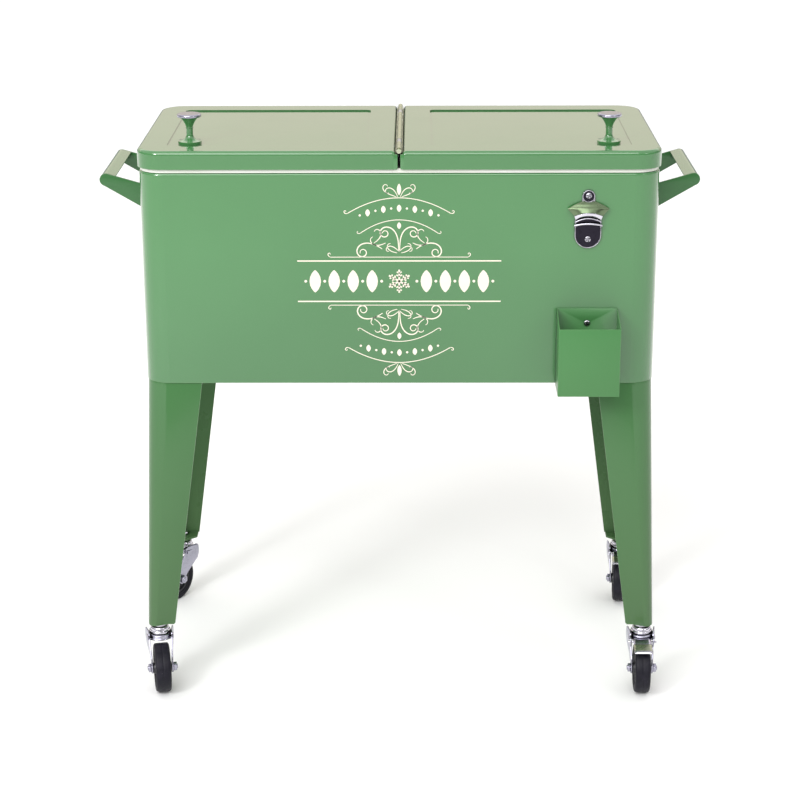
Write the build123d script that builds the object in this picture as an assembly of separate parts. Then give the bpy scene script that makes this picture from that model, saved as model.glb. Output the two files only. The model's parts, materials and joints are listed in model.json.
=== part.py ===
"""Rolling patio cooler chest: insulated steel tub on four tapered legs, with a split lid.

Units are millimetres. +Z is up, the front panel faces -Y and +X is the right-hand end.
Everything is drawn about the tub's middle and then moved back by FOOTPRINT_SHIFT, so that
the origin lies on the floor below the middle of the overall footprint.
"""
import math
import os

from build123d import *

# ---- driving dimensions ---------------------------------------------------------------------
FOOTPRINT_SHIFT = 22.65

LID_TOP = 850.0
LID_HALF_WIDTH = 384.0
LID_HALF_DEPTH = 188.0
LID_SKIRT = 27.0
LID_CENTRE_GAP = 5.0
LID_EDGE_ROLL = 6.0
LID_PANEL_INSET = 42.0
LID_PANEL_DROP = 2.0
LID_LINER_HEIGHT = 826.0
LID_LINER_THICKNESS = 2.0
CORNER_RADIUS = 38.0
SHEET = 1.2

TUB_HALF_WIDTH = 382.0
TUB_HALF_DEPTH = 185.5
TUB_TOP = 817.6
TUB_BOTTOM = 498.0
TUB_FLANGE = 14.0
TUB_SHOULDER = 4.0
WELL_HALF_WIDTH = 351.5
WELL_HALF_DEPTH = 156.5
WELL_FLOOR = 530.0
WELL_RADIUS = 30.0
LINER_THICKNESS = 1.5
RIM_TOP = 825.6
RIM_SETBACK = 1.4

PIN_RADIUS = 2.0
PIN_CLEARANCE = 0.05
PIN_HALF_LENGTH = 187.0
KNUCKLE_RADIUS = 3.8
KNUCKLE_SLOTS = 15
KNUCKLE_PITCH = 24.0
KNUCKLE_END_GAP = 0.4
POST_SLOTS = (2, 12)
POST_HALF_WIDTH = 3.5
LEAF_THICKNESS = 0.8
LEAF_DEPTH = 21.0
BAR_HALF_WIDTH = 16.0
BAR_DEPTH = 20.0
BAR_TOP = 823.4

KNOB_X = 309.0
KNOB_Y = -121.0
KNOB_BASE_RADIUS = 17.5
KNOB_WAIST_RADIUS = 5.0
KNOB_FOOT = LID_TOP - LID_PANEL_DROP
KNOB_HEIGHT = 40.5
KNOB_RIM = 5.2
KNOB_FLARE_RADIUS = 13.5
KNOB_CAP_RADIUS = 17.8
KNOB_CAP_HEIGHT = 5.0
KNOB_SCREW_RADIUS = 2.5

HANDLE_ARM_Y = 90.0
HANDLE_ARM_THICKNESS = 2.5
HANDLE_GRIP_OUT = 58.5
HANDLE_GRIP_Z = 788.0
HANDLE_GRIP_RADIUS = 9.5
HANDLE_GRIP_WALL = 1.5
HANDLE_GRIP_APRON = 12.0
HANDLE_TAB_LENGTH = 27.0
HANDLE_TAB_BOTTOM = 735.0
HANDLE_TAB_TOP = 781.0
HANDLE_SCREW_Z = 761.0

OPENER_X = 276.0
OPENER_TOP_SCREW_Z = 784.5
OPENER_LOW_SCREW_Z = 719.7
OPENER_PLATE = 3.0
OPENER_HOOD_REACH = 15.0

CATCHER_X = 278.2
CATCHER_HALF_WIDTH = 45.2
CATCHER_DEPTH = 60.0
CATCHER_BOTTOM = 495.5
CATCHER_FRONT_TOP = 598.0
CATCHER_BACK_TOP = 614.3
CATCHER_SCREW_Z = 591.5

LEG_TOP_X = 380.4
LEG_TOP_Y = 184.0
LEG_FOOT_X = 393.6
LEG_FOOT_Y = 191.0
LEG_TOP_WIDTH = 84.0
LEG_FOOT_WIDTH = 42.0
LEG_TOP_SIDE = 68.0
LEG_FOOT_SIDE = 38.0
LEG_TOP_RADIUS = 34.0
LEG_FOOT_RADIUS = 15.0
LEG_SHEET = 2.0
LEG_FOOT_Z = 99.4
LEG_FOOT_RISE = 0.18
LEG_PLATE = 3.0

CASTER_X = 376.5
CASTER_Y = 177.0
CASTER_TRAIL = 27.0
WHEEL_RADIUS = 38.0
WHEEL_HALF_WIDTH = 12.0
CORE_RADIUS = 27.0
HUB_HALF_WIDTH = 14.1
AXLE_RADIUS = 4.0
AXLE_CLEARANCE = 0.05
FORK_HALF_GAP = 14.5
FORK_SHEET = 2.0
FORK_TOP_HALF_GAP = 19.0
FORK_CROWN_BOTTOM = 79.0
FORK_CROWN_TOP = 82.0
FORK_SHOULDER_TOP = 91.5
RACE_BOTTOM = 88.3
RACE_TOP = 98.6
RACE_RADIUS = 16.8
LOWER_RACE_RADIUS = 14.5
STEM_RADIUS = 5.0
STEM_CLEARANCE = 0.05
PEDAL_HALF_WIDTH = 13.6
PEDAL_PIN_RADIUS = 1.8
PEDAL_PIN_CLEARANCE = 0.05
PEDAL_PIN_Y = -25.0
PEDAL_PIN_Z = 81.0
FORK_EAR_TOP = 84.4
FORK_EAR_FRONT = -28.6
FORK_EAR_BACK = -21.4

DRAIN_Y = 120.0
DRAIN_BORE_RADIUS = 6.0
DRAIN_SPOUT_RADIUS = 9.5
DRAIN_SPOUT_END = 472.0
DRAIN_CAP_RADIUS = 13.0
DRAIN_CAP_BOTTOM = 466.0
DRAIN_CAP_TOP = 487.0
DRAIN_CAP_RIBS = 16
DRAIN_SEAL_THICKNESS = 2.0
DRAIN_SEAL_GAP = 0.1

SCREW_HEAD_RADIUS = 4.5
SCREW_HEAD_HEIGHT = 2.6
SCREW_SHANK_RADIUS = 2.0
SCREW_SHANK_LENGTH = 8.0

# Yaw of each caster about its stem, counter-clockwise seen from above.
CASTERS = {
    "front_left": {"x": -1, "y": -1, "yaw": 11.0, "brake": False},
    "front_right": {"x": 1, "y": -1, "yaw": -1.5, "brake": True},
    "rear_left": {"x": -1, "y": 1, "yaw": -33.0, "brake": False},
    "rear_right": {"x": 1, "y": 1, "yaw": -3.5, "brake": True},
}
SIDES = {"left": -1, "right": 1}


# ---- shared shapes --------------------------------------------------------------------------
def block(x0, x1, y0, y1, z0, z1):
    """Plain box between two corners."""
    solid = Box(x1 - x0, y1 - y0, z1 - z0)
    return Pos((x0 + x1) / 2, (y0 + y1) / 2, (z0 + z1) / 2) * solid


def rounded_block(half_x, half_y, z0, z1, radius):
    """Upright box centred on the Z axis with rounded vertical corners."""
    outline = RectangleRounded(2 * half_x, 2 * half_y, radius)
    return Pos(0, 0, z0) * extrude(outline, z1 - z0)


def rod(radius, start, end):
    """Round bar between two points."""
    path = Vector(*end) - Vector(*start)
    return Plane(origin=start, z_dir=path) * extrude(Circle(radius), path.length)


def lid_block(inset, z0, z1, outer_radius, inner_radius, centre_x=LID_CENTRE_GAP):
    """Right-hand lid footprint pulled in by inset, as an upright solid."""
    x0 = centre_x + inset
    x1 = LID_HALF_WIDTH - inset
    y1 = LID_HALF_DEPTH - inset
    solid = block(x0, x1, -y1, y1, z0, z1)
    uprights = solid.edges().filter_by(Axis.Z).sort_by(Axis.X)
    solid = fillet(uprights[2:], outer_radius)
    uprights = solid.edges().filter_by(Axis.Z).sort_by(Axis.X)
    return fillet(uprights[:2], inner_radius)


def put_on_side(solid, side):
    """Mirror a right-hand solid to the left-hand end when side is -1."""
    if side > 0:
        return solid
    return mirror(solid, about=Plane.YZ)


def screw(head_centre, outward):
    """Round-head screw: outward is the unit direction its head faces."""
    base = Vector(*head_centre)
    out = Vector(*outward)
    frame = Plane(origin=base, z_dir=out)
    head = frame * extrude(Circle(SCREW_HEAD_RADIUS), SCREW_HEAD_HEIGHT)
    head = chamfer(head.edges().sort_by(lambda e: (e.center() - base).dot(out))[-1], 1.2)
    shank = frame * extrude(Circle(SCREW_SHANK_RADIUS), -SCREW_SHANK_LENGTH)
    return head + shank


def screw_hole(head_centre, outward):
    """Bore that takes the shank of a screw."""
    frame = Plane(origin=head_centre, z_dir=outward)
    return frame * extrude(Circle(SCREW_SHANK_RADIUS), -SCREW_SHANK_LENGTH, both=True)


def save(name, *solids):
    """Write one node; several solids in a node are identical separate pieces."""
    placed = [Pos(0, FOOTPRINT_SHIFT, 0) * solid for solid in solids]
    shape = placed[0] if len(placed) == 1 else Compound(children=placed)
    export_step(shape, os.path.join("parts", name + ".step"))


# ---- tub ------------------------------------------------------------------------------------
def handle_screw_points(side):
    """Head centres of the two screws that hold one handle, and their direction."""
    x = side * (TUB_HALF_WIDTH + HANDLE_ARM_THICKNESS)
    reach = HANDLE_ARM_Y + HANDLE_TAB_LENGTH * 0.6
    return [((x, y, HANDLE_SCREW_Z), (side, 0, 0)) for y in (-reach, reach)]


def opener_screw_points():
    """Head centres of the opener's two screws."""
    y = -TUB_HALF_DEPTH - OPENER_PLATE
    heights = (OPENER_TOP_SCREW_Z, OPENER_LOW_SCREW_Z)
    return [((OPENER_X, y, z), (0, -1, 0)) for z in heights]


def catcher_screw_points():
    """Head centre of the cap catcher's screw."""
    y = -TUB_HALF_DEPTH - SHEET
    return [((CATCHER_X, y, CATCHER_SCREW_Z), (0, -1, 0))]


def wall_screws():
    """Every screw that passes through the tub wall."""
    points = opener_screw_points() + catcher_screw_points()
    for side in SIDES.values():
        points += handle_screw_points(side)
    return points


def cut_screw_holes(solid):
    """Clear the shank holes of every wall screw from a solid."""
    for centre, outward in wall_screws():
        solid -= screw_hole(centre, outward)
    return solid


def drain_bore(radius, z0, z1):
    """Upright cylinder on the drain's axis."""
    return Pos(0, DRAIN_Y, z0) * extrude(Circle(radius), z1 - z0)


def tub_shell():
    """Painted outer wall with a rolled shoulder and a narrow inward flange at the bottom."""
    outer = rounded_block(TUB_HALF_WIDTH, TUB_HALF_DEPTH, TUB_BOTTOM, TUB_TOP, CORNER_RADIUS)
    outer = fillet(outer.edges().group_by(Axis.Z)[-1], TUB_SHOULDER)
    half_x = TUB_HALF_WIDTH - SHEET
    half_y = TUB_HALF_DEPTH - SHEET
    hollow = rounded_block(half_x, half_y, TUB_BOTTOM + SHEET, TUB_TOP - SHEET, CORNER_RADIUS - SHEET)
    hollow = fillet(hollow.edges().group_by(Axis.Z)[-1], TUB_SHOULDER - SHEET)
    mouth_x = TUB_HALF_WIDTH - TUB_SHOULDER
    mouth_y = TUB_HALF_DEPTH - TUB_SHOULDER
    mouth = rounded_block(mouth_x, mouth_y, TUB_TOP - 2 * SHEET, TUB_TOP, CORNER_RADIUS - TUB_SHOULDER)
    floor_x = TUB_HALF_WIDTH - TUB_FLANGE
    floor_y = TUB_HALF_DEPTH - TUB_FLANGE
    floor = rounded_block(floor_x, floor_y, TUB_BOTTOM, TUB_BOTTOM + SHEET, CORNER_RADIUS - TUB_FLANGE)
    return cut_screw_holes(outer - hollow - mouth - floor)


def bottom_pan():
    """Flat steel pan that closes the tub from below."""
    z0 = TUB_BOTTOM + SHEET
    half_x = TUB_HALF_WIDTH - SHEET
    half_y = TUB_HALF_DEPTH - SHEET
    pan = rounded_block(half_x, half_y, z0, z0 + SHEET, CORNER_RADIUS - SHEET)
    return pan - drain_bore(DRAIN_SPOUT_RADIUS, TUB_BOTTOM, WELL_FLOOR)


def insulation():
    """Foam between the outer wall and the liner."""
    z0 = TUB_BOTTOM + 2 * SHEET
    half_x = TUB_HALF_WIDTH - SHEET
    half_y = TUB_HALF_DEPTH - SHEET
    foam = rounded_block(half_x, half_y, z0, TUB_TOP - SHEET, CORNER_RADIUS - SHEET)
    foam = fillet(foam.edges().group_by(Axis.Z)[-1], TUB_SHOULDER - SHEET)
    well_x = WELL_HALF_WIDTH + LINER_THICKNESS
    well_y = WELL_HALF_DEPTH + LINER_THICKNESS
    well_z = WELL_FLOOR - LINER_THICKNESS
    foam -= rounded_block(well_x, well_y, well_z, TUB_TOP, WELL_RADIUS + LINER_THICKNESS)
    foam -= drain_bore(DRAIN_SPOUT_RADIUS, TUB_BOTTOM, WELL_FLOOR)
    return cut_screw_holes(foam)


def liner():
    """Moulded inner tub that holds the ice."""
    wall_x = WELL_HALF_WIDTH + LINER_THICKNESS
    wall_y = WELL_HALF_DEPTH + LINER_THICKNESS
    wall_z = WELL_FLOOR - LINER_THICKNESS
    top = TUB_TOP - SHEET
    tub = rounded_block(wall_x, wall_y, wall_z, top, WELL_RADIUS + LINER_THICKNESS)
    tub -= rounded_block(WELL_HALF_WIDTH, WELL_HALF_DEPTH, WELL_FLOOR, top, WELL_RADIUS)
    return tub - drain_bore(DRAIN_SPOUT_RADIUS, TUB_BOTTOM, WELL_FLOOR)


def rim_frame():
    """Pale moulded frame on the tub's mouth, which the lids close on."""
    outer_x = TUB_HALF_WIDTH - RIM_SETBACK
    outer_y = TUB_HALF_DEPTH - RIM_SETBACK
    frame = rounded_block(outer_x, outer_y, TUB_TOP, RIM_TOP, CORNER_RADIUS - RIM_SETBACK)
    frame = fillet(frame.edges().group_by(Axis.Z)[-1], 1.5)
    plug_x = TUB_HALF_WIDTH - TUB_SHOULDER
    plug_y = TUB_HALF_DEPTH - TUB_SHOULDER
    frame += rounded_block(plug_x, plug_y, TUB_TOP - SHEET, TUB_TOP, CORNER_RADIUS - TUB_SHOULDER)
    frame -= rounded_block(WELL_HALF_WIDTH, WELL_HALF_DEPTH, TUB_TOP - SHEET, RIM_TOP, WELL_RADIUS)
    return frame


def knuckle_span(slot):
    """Start and end of one hinge slot along Y."""
    middle = (slot - (KNUCKLE_SLOTS - 1) / 2) * KNUCKLE_PITCH
    half = (KNUCKLE_PITCH - KNUCKLE_END_GAP) / 2
    return middle - half, middle + half


def crossbar():
    """Bar across the mouth with two posts that carry the hinge pin."""
    bar = block(
        -BAR_HALF_WIDTH, BAR_HALF_WIDTH, -WELL_HALF_DEPTH, WELL_HALF_DEPTH, BAR_TOP - BAR_DEPTH, BAR_TOP
    )
    for slot in POST_SLOTS:
        y0, y1 = knuckle_span(slot)
        bar += block(-POST_HALF_WIDTH, POST_HALF_WIDTH, y0, y1, BAR_TOP, LID_TOP)
        bar += rod(POST_HALF_WIDTH, (0, y0, LID_TOP), (0, y1, LID_TOP))
    return bar - rod(PIN_RADIUS, (0, -PIN_HALF_LENGTH, LID_TOP), (0, PIN_HALF_LENGTH, LID_TOP))


def hinge_pin():
    """Long pin that both lids turn on, with a flared head at the front."""
    pin = rod(PIN_RADIUS, (0, -PIN_HALF_LENGTH, LID_TOP), (0, PIN_HALF_LENGTH, LID_TOP))
    head_end = -PIN_HALF_LENGTH - 1.0
    return pin + rod(KNUCKLE_RADIUS - 0.4, (0, head_end, LID_TOP), (0, -PIN_HALF_LENGTH, LID_TOP))


def build_tub():
    save("tub_shell", tub_shell())
    save("bottom_pan", bottom_pan())
    save("tub_insulation", insulation())
    save("tub_liner", liner())
    save("rim_frame", rim_frame())
    save("centre_crossbar", crossbar())
    save("hinge_pin", hinge_pin())


# ---- lids -----------------------------------------------------------------------------------
def panel_block(grow, z0, z1):
    """Sunken panel of the right-hand lid."""
    inset = LID_PANEL_INSET - grow
    return lid_block(inset, z0, z1, 10.0 + grow, 8.0 + grow)


def lid_hollow(z0):
    """Space inside the lid skin above height z0."""
    roof = LID_TOP - SHEET
    hollow = lid_block(SHEET, z0, roof, CORNER_RADIUS - SHEET, 3.0)
    hollow = fillet(hollow.edges().group_by(Axis.Z)[-1], LID_EDGE_ROLL / 2)
    return hollow - panel_block(SHEET, roof - LID_PANEL_DROP, roof)


def lid_skin():
    """Painted pressing with a rolled edge, a skirt and a sunken top panel."""
    skirt_bottom = LID_TOP - LID_SKIRT
    skin = lid_block(0, skirt_bottom, LID_TOP, CORNER_RADIUS, 3.0 + SHEET)
    top_edges = skin.edges().group_by(Axis.Z)[-1]
    far_edges = top_edges.filter_by(lambda e: e.center().X > LID_CENTRE_GAP + 10)
    skin = fillet(far_edges, LID_EDGE_ROLL)
    skin -= panel_block(0, LID_TOP - LID_PANEL_DROP, LID_TOP)
    skin -= lid_hollow(skirt_bottom)
    # The wall along the centre stops short of the rim frame that it crosses.
    inner_y = LID_HALF_DEPTH - SHEET
    skin -= block(0, LID_CENTRE_GAP + 2 * SHEET, -inner_y, inner_y, skirt_bottom, LID_LINER_HEIGHT)
    return skin - knob_bore()


def knob_bore():
    """Screw hole through the lid's top panel at the knob."""
    hole = extrude(Circle(KNOB_SCREW_RADIUS), 20)
    return Pos(KNOB_X, KNOB_Y, LID_TOP - 10) * hole


def knob_screw():
    """Screw that holds the knob from inside the lid."""
    seat = KNOB_FOOT - SHEET
    head = Pos(KNOB_X, KNOB_Y, seat - 3.0) * extrude(Circle(5.0), 3.0)
    shank = Pos(KNOB_X, KNOB_Y, seat) * extrude(Circle(KNOB_SCREW_RADIUS), 16.0)
    return head + shank


def lid_liner():
    """Flat moulded pan that closes the lid from below."""
    base = lid_block(SHEET, LID_LINER_HEIGHT, LID_TOP - SHEET, CORNER_RADIUS - SHEET, 3.0)
    top = LID_LINER_HEIGHT + LID_LINER_THICKNESS
    return base & block(0, LID_HALF_WIDTH, -LID_HALF_DEPTH, LID_HALF_DEPTH, LID_LINER_HEIGHT, top)


def lid_foam():
    """Foam core of the lid."""
    foam = lid_hollow(LID_LINER_HEIGHT + LID_LINER_THICKNESS)
    return foam - knob_screw()


def knob():
    """Hourglass knob: rimmed foot, slim waist with a bead and a flared top."""
    foot = KNOB_FOOT
    top = foot + KNOB_HEIGHT
    rim_top = foot + KNOB_RIM
    waist_low = foot + KNOB_HEIGHT * 0.38
    waist_high = foot + KNOB_HEIGHT * 0.58
    bead_top = waist_high + 2.0
    with BuildPart() as turned:
        with BuildSketch(Plane.XZ):
            with BuildLine():
                Line((0, foot), (KNOB_BASE_RADIUS, foot))
                Line((KNOB_BASE_RADIUS, foot), (KNOB_BASE_RADIUS, rim_top))
                Spline(
                    (KNOB_BASE_RADIUS, rim_top),
                    (KNOB_WAIST_RADIUS, waist_low),
                    tangents=[(-1.0, 0.2), (0.0, 1.0)],
                )
                Line((KNOB_WAIST_RADIUS, waist_low), (KNOB_WAIST_RADIUS, waist_high))
                ThreePointArc(
                    (KNOB_WAIST_RADIUS, waist_high),
                    (KNOB_WAIST_RADIUS + 0.9, waist_high + 1.0),
                    (KNOB_WAIST_RADIUS, bead_top),
                )
                Spline(
                    (KNOB_WAIST_RADIUS, bead_top),
                    (KNOB_FLARE_RADIUS, top),
                    tangents=[(0.25, 1.0), (0.75, 1.0)],
                )
                Line((KNOB_FLARE_RADIUS, top), (0, top))
                Line((0, top), (0, foot))
            make_face()
        revolve(axis=Axis.Z)
    return Pos(KNOB_X, KNOB_Y, 0) * turned.part - knob_screw()


def knob_cap():
    """Chromed disc pressed on the knob."""
    z0 = KNOB_FOOT + KNOB_HEIGHT
    disc = Pos(KNOB_X, KNOB_Y, z0) * extrude(Circle(KNOB_CAP_RADIUS), KNOB_CAP_HEIGHT)
    disc = fillet(disc.edges().group_by(Axis.Z)[-1], 2.4)
    return fillet(disc.edges().group_by(Axis.Z)[0], 1.2)


def hinge_leaf(side):
    """Leaf on the lid's centre edge with the knuckles that belong to that lid."""
    x1 = LID_CENTRE_GAP
    x0 = x1 - LEAF_THICKNESS
    y1 = PIN_HALF_LENGTH - 4.0
    z1 = LID_TOP - 1.0
    leaf = block(x0, x1, -y1, y1, z1 - LEAF_DEPTH, z1)
    wanted = 0 if side < 0 else 1
    for slot in range(KNUCKLE_SLOTS):
        if slot in POST_SLOTS or slot % 2 != wanted:
            continue
        start, end = knuckle_span(slot)
        leaf += rod(KNUCKLE_RADIUS, (0, start, LID_TOP), (0, end, LID_TOP))
        leaf += block(0, x1, start, end, LID_TOP - KNUCKLE_RADIUS, z1)
    bore = PIN_RADIUS + PIN_CLEARANCE
    return leaf - rod(bore, (0, -PIN_HALF_LENGTH, LID_TOP), (0, PIN_HALF_LENGTH, LID_TOP))


def build_lids():
    for name, side in SIDES.items():
        save(name + "_lid_skin", put_on_side(lid_skin(), side))
        save(name + "_lid_liner", put_on_side(lid_liner(), side))
        save(name + "_lid_foam", put_on_side(lid_foam(), side))
        save(name + "_hinge_leaf", put_on_side(hinge_leaf(side), side))
        save(name + "_knob", put_on_side(knob(), side))
        save(name + "_knob_cap", put_on_side(knob_cap(), side))
        save(name + "_knob_screw", put_on_side(knob_screw(), side))


# ---- handles --------------------------------------------------------------------------------
def handle_bracket():
    """Two tapered arms, each with a screw tab that lies on the tub's end wall."""
    wall = TUB_HALF_WIDTH
    grip_x = wall + HANDLE_GRIP_OUT
    arm_outline = Polyline(
        (wall, HANDLE_TAB_TOP - 38.0),
        (wall, HANDLE_TAB_TOP),
        (grip_x - 2.5, HANDLE_GRIP_Z + HANDLE_GRIP_RADIUS - 0.35),
        (grip_x + 6.5, HANDLE_GRIP_Z - HANDLE_GRIP_RADIUS + 2.6),
        close=True,
    )
    arm_face = make_face(arm_outline) + Pos(grip_x, HANDLE_GRIP_Z) * Circle(HANDLE_GRIP_RADIUS)
    solids = []
    for end in (-1, 1):
        inner_y = end * HANDLE_ARM_Y
        arm = Plane(origin=(0, inner_y, 0), x_dir=(1, 0, 0), z_dir=(0, -1, 0)) * arm_face
        arm = extrude(arm, HANDLE_ARM_THICKNESS, dir=(0, end, 0))
        y0, y1 = sorted((inner_y, inner_y + end * HANDLE_TAB_LENGTH))
        tab = block(wall, wall + HANDLE_ARM_THICKNESS, y0, y1, HANDLE_TAB_BOTTOM, HANDLE_TAB_TOP)
        corners = tab.edges().filter_by(Axis.X).sort_by(lambda e: end * e.center().Y)[-2:]
        solids.append(fillet(corners, 8.0) + arm)
    for centre, outward in handle_screw_points(1):
        solids = [solid - screw_hole(centre, outward) for solid in solids]
    return solids


def handle_grip():
    """Rolled grip, open along its underside, between the two arms."""
    x = TUB_HALF_WIDTH + HANDLE_GRIP_OUT
    y = HANDLE_ARM_Y
    bar = rod(HANDLE_GRIP_RADIUS, (x, -y, HANDLE_GRIP_Z), (x, y, HANDLE_GRIP_Z))
    bar -= rod(HANDLE_GRIP_RADIUS - HANDLE_GRIP_WALL, (x, -y, HANDLE_GRIP_Z), (x, y, HANDLE_GRIP_Z))
    slot_half = HANDLE_GRIP_RADIUS * 0.55
    slot_bottom = HANDLE_GRIP_Z - 2 * HANDLE_GRIP_RADIUS
    bar -= block(x - slot_half, x + slot_half, -y, y, slot_bottom, HANDLE_GRIP_Z)
    crest_x = x - 2.5
    crest_z = HANDLE_GRIP_Z + HANDLE_GRIP_RADIUS - 0.35
    edge_x = crest_x - HANDLE_GRIP_APRON
    edge_z = crest_z - HANDLE_GRIP_APRON * (crest_z - HANDLE_TAB_TOP) / (crest_x - TUB_HALF_WIDTH)
    apron = Polyline(
        (crest_x, crest_z),
        (crest_x, crest_z - HANDLE_GRIP_WALL),
        (edge_x, edge_z - HANDLE_GRIP_WALL),
        (edge_x, edge_z),
        close=True,
    )
    return bar + extrude(Plane.XZ * make_face(apron), y, both=True)


def build_handles():
    screws = []
    for name, side in SIDES.items():
        save(name + "_handle_arms", *[put_on_side(solid, side) for solid in handle_bracket()])
        save(name + "_handle_grip", put_on_side(handle_grip(), side))
        screws += [screw(centre, outward) for centre, outward in handle_screw_points(side)]
    save("handle_screws", *screws)


# ---- front fittings -------------------------------------------------------------------------
def front_profile(*points):
    """Face on the front panel from points given as offsets from the opener's middle and heights."""
    plane = Plane(origin=(OPENER_X, -TUB_HALF_DEPTH, 0), x_dir=(1, 0, 0), z_dir=(0, -1, 0))
    return plane * make_face(Polyline(*points, close=True))


def bottle_opener():
    """Cast wall opener: screw lobe, hollow hood, cap-catching lip and a tongue-shaped lower plate."""
    plane = Plane(origin=(OPENER_X, -TUB_HALF_DEPTH, 0), x_dir=(1, 0, 0), z_dir=(0, -1, 0))
    lobe = plane * Pos(0, OPENER_TOP_SCREW_Z) * Circle(8.2)
    tongue_outline = Pos(0, OPENER_LOW_SCREW_Z + 13.0) * RectangleRounded(39.0, 53.0, 19.0)
    body = extrude(lobe, OPENER_PLATE)
    body += extrude(front_profile((-8, 784), (8, 784), (9, 765), (-9, 765)), OPENER_PLATE)
    body += extrude(plane * tongue_outline, OPENER_PLATE)
    wing = front_profile((-9, 773), (9, 773), (31, 763), (26, 752), (-26, 752), (-31, 763))
    hood = extrude(wing, OPENER_HOOD_REACH)
    front_edge = hood.edges().sort_by(Axis.Y)[:6].sort_by(Axis.Z)[-3:]
    hood = chamfer(front_edge, 7.0)
    pocket = front_profile((-22, 759), (22, 759), (22, 750), (-22, 750))
    hood -= extrude(pocket, OPENER_HOOD_REACH - 3.0)
    body += hood
    lip = front_profile((-17, 739), (17, 739), (15, 734), (-15, 734))
    body += extrude(lip, OPENER_PLATE + 5.0)
    for centre, outward in opener_screw_points():
        body -= screw_hole(centre, outward)
    return body


def cap_catcher():
    """Open-topped sheet box for the caps, with a taller back wall."""
    back = -TUB_HALF_DEPTH
    front = back - CATCHER_DEPTH
    x0 = CATCHER_X - CATCHER_HALF_WIDTH
    x1 = CATCHER_X + CATCHER_HALF_WIDTH
    side = Polyline(
        (back, CATCHER_BOTTOM),
        (back, CATCHER_BACK_TOP),
        (front, CATCHER_FRONT_TOP),
        (front, CATCHER_BOTTOM),
        close=True,
    )
    box = Plane(origin=(x0, 0, 0), x_dir=(0, 1, 0), z_dir=(1, 0, 0)) * make_face(side)
    box = extrude(box, x1 - x0, dir=(1, 0, 0))
    low_z = CATCHER_BOTTOM + SHEET
    box -= block(x0 + SHEET, x1 - SHEET, front + SHEET, back - SHEET, low_z, CATCHER_BACK_TOP + SHEET)
    for centre, outward in catcher_screw_points():
        box -= screw_hole(centre, outward)
    return box


def build_front_fittings():
    save("bottle_opener", bottle_opener())
    save("cap_catcher", cap_catcher())
    front_points = opener_screw_points() + catcher_screw_points()
    save("front_screws", *[screw(*point) for point in front_points])


# ---- legs -----------------------------------------------------------------------------------
def leg_section(corner_x, corner_y, width, side, radius, z):
    """Closed L-shaped wire with a rounded outer corner, for the rear right-hand leg."""
    inner = radius - LEG_SHEET
    x_end = corner_x - width
    y_end = corner_y - side
    x_in = corner_x - LEG_SHEET
    y_in = corner_y - LEG_SHEET
    bend = math.sqrt(0.5)
    cx = corner_x - radius
    cy = corner_y - radius
    with BuildSketch(Plane(origin=(0, 0, z))) as section:
        with BuildLine():
            Line((x_end, corner_y), (cx, corner_y))
            ThreePointArc((cx, corner_y), (cx + radius * bend, cy + radius * bend), (corner_x, cy))
            Line((corner_x, cy), (corner_x, y_end))
            Line((corner_x, y_end), (x_in, y_end))
            Line((x_in, y_end), (x_in, cy))
            ThreePointArc((x_in, cy), (cx + inner * bend, cy + inner * bend), (cx, y_in))
            Line((cx, y_in), (x_end, y_in))
            Line((x_end, y_in), (x_end, corner_y))
        make_face()
    return section.sketch


def leg_corner_plate(z0, corner_x, corner_y, width, side, radius):
    """Horizontal plate inside the L, cut off along its open side."""
    x_in = corner_x - LEG_SHEET / 2
    y_in = corner_y - LEG_SHEET / 2
    outline = Polyline(
        (corner_x - width, y_in),
        (x_in, y_in),
        (x_in, corner_y - side),
        (corner_x - width * 0.55, corner_y - side),
        (corner_x - width, corner_y - side * 0.55),
        close=True,
    )
    plate = extrude(Pos(0, 0, z0) * make_face(outline), LEG_PLATE)
    edge = plate.edges().filter_by(Axis.Z).sort_by(lambda e: e.center().X + e.center().Y)[-1]
    return fillet(edge, radius - LEG_SHEET / 2)


def leg_bolt_points():
    """Bolt positions in the leg's top plate, for the rear right-hand leg."""
    return [(LEG_TOP_X - 60.0, LEG_TOP_Y - 16.0), (LEG_TOP_X - 16.0, LEG_TOP_Y - 46.0)]


def leg():
    """Tapered, splayed L-section leg with a bolting plate on top and a caster plate below."""
    low_z = LEG_FOOT_Z - 4.0
    top = leg_section(LEG_TOP_X, LEG_TOP_Y, LEG_TOP_WIDTH, LEG_TOP_SIDE, LEG_TOP_RADIUS, TUB_BOTTOM)
    foot = leg_section(LEG_FOOT_X, LEG_FOOT_Y, LEG_FOOT_WIDTH, LEG_FOOT_SIDE, LEG_FOOT_RADIUS, low_z)
    strut = loft([foot, top], ruled=True)
    corner = Vector(LEG_FOOT_X, LEG_FOOT_Y, LEG_FOOT_Z)
    cut_plane = Plane(origin=corner, z_dir=(LEG_FOOT_RISE, LEG_FOOT_RISE, 1))
    strut = split(strut, bisect_by=cut_plane, keep=Keep.TOP)
    strut += leg_corner_plate(
        RACE_TOP + 6.4, LEG_FOOT_X, LEG_FOOT_Y, LEG_FOOT_WIDTH, LEG_FOOT_SIDE, LEG_FOOT_RADIUS
    )
    strut += leg_corner_plate(
        TUB_BOTTOM - LEG_PLATE, LEG_TOP_X, LEG_TOP_Y, LEG_TOP_WIDTH, LEG_TOP_SIDE, LEG_TOP_RADIUS
    )
    strut -= Pos(CASTER_X, CASTER_Y, RACE_TOP) * extrude(Circle(STEM_RADIUS), 20)
    for x, y in leg_bolt_points():
        strut -= Pos(x, y, TUB_BOTTOM - LEG_PLATE) * extrude(Circle(3.0), LEG_PLATE)
    return strut


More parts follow.
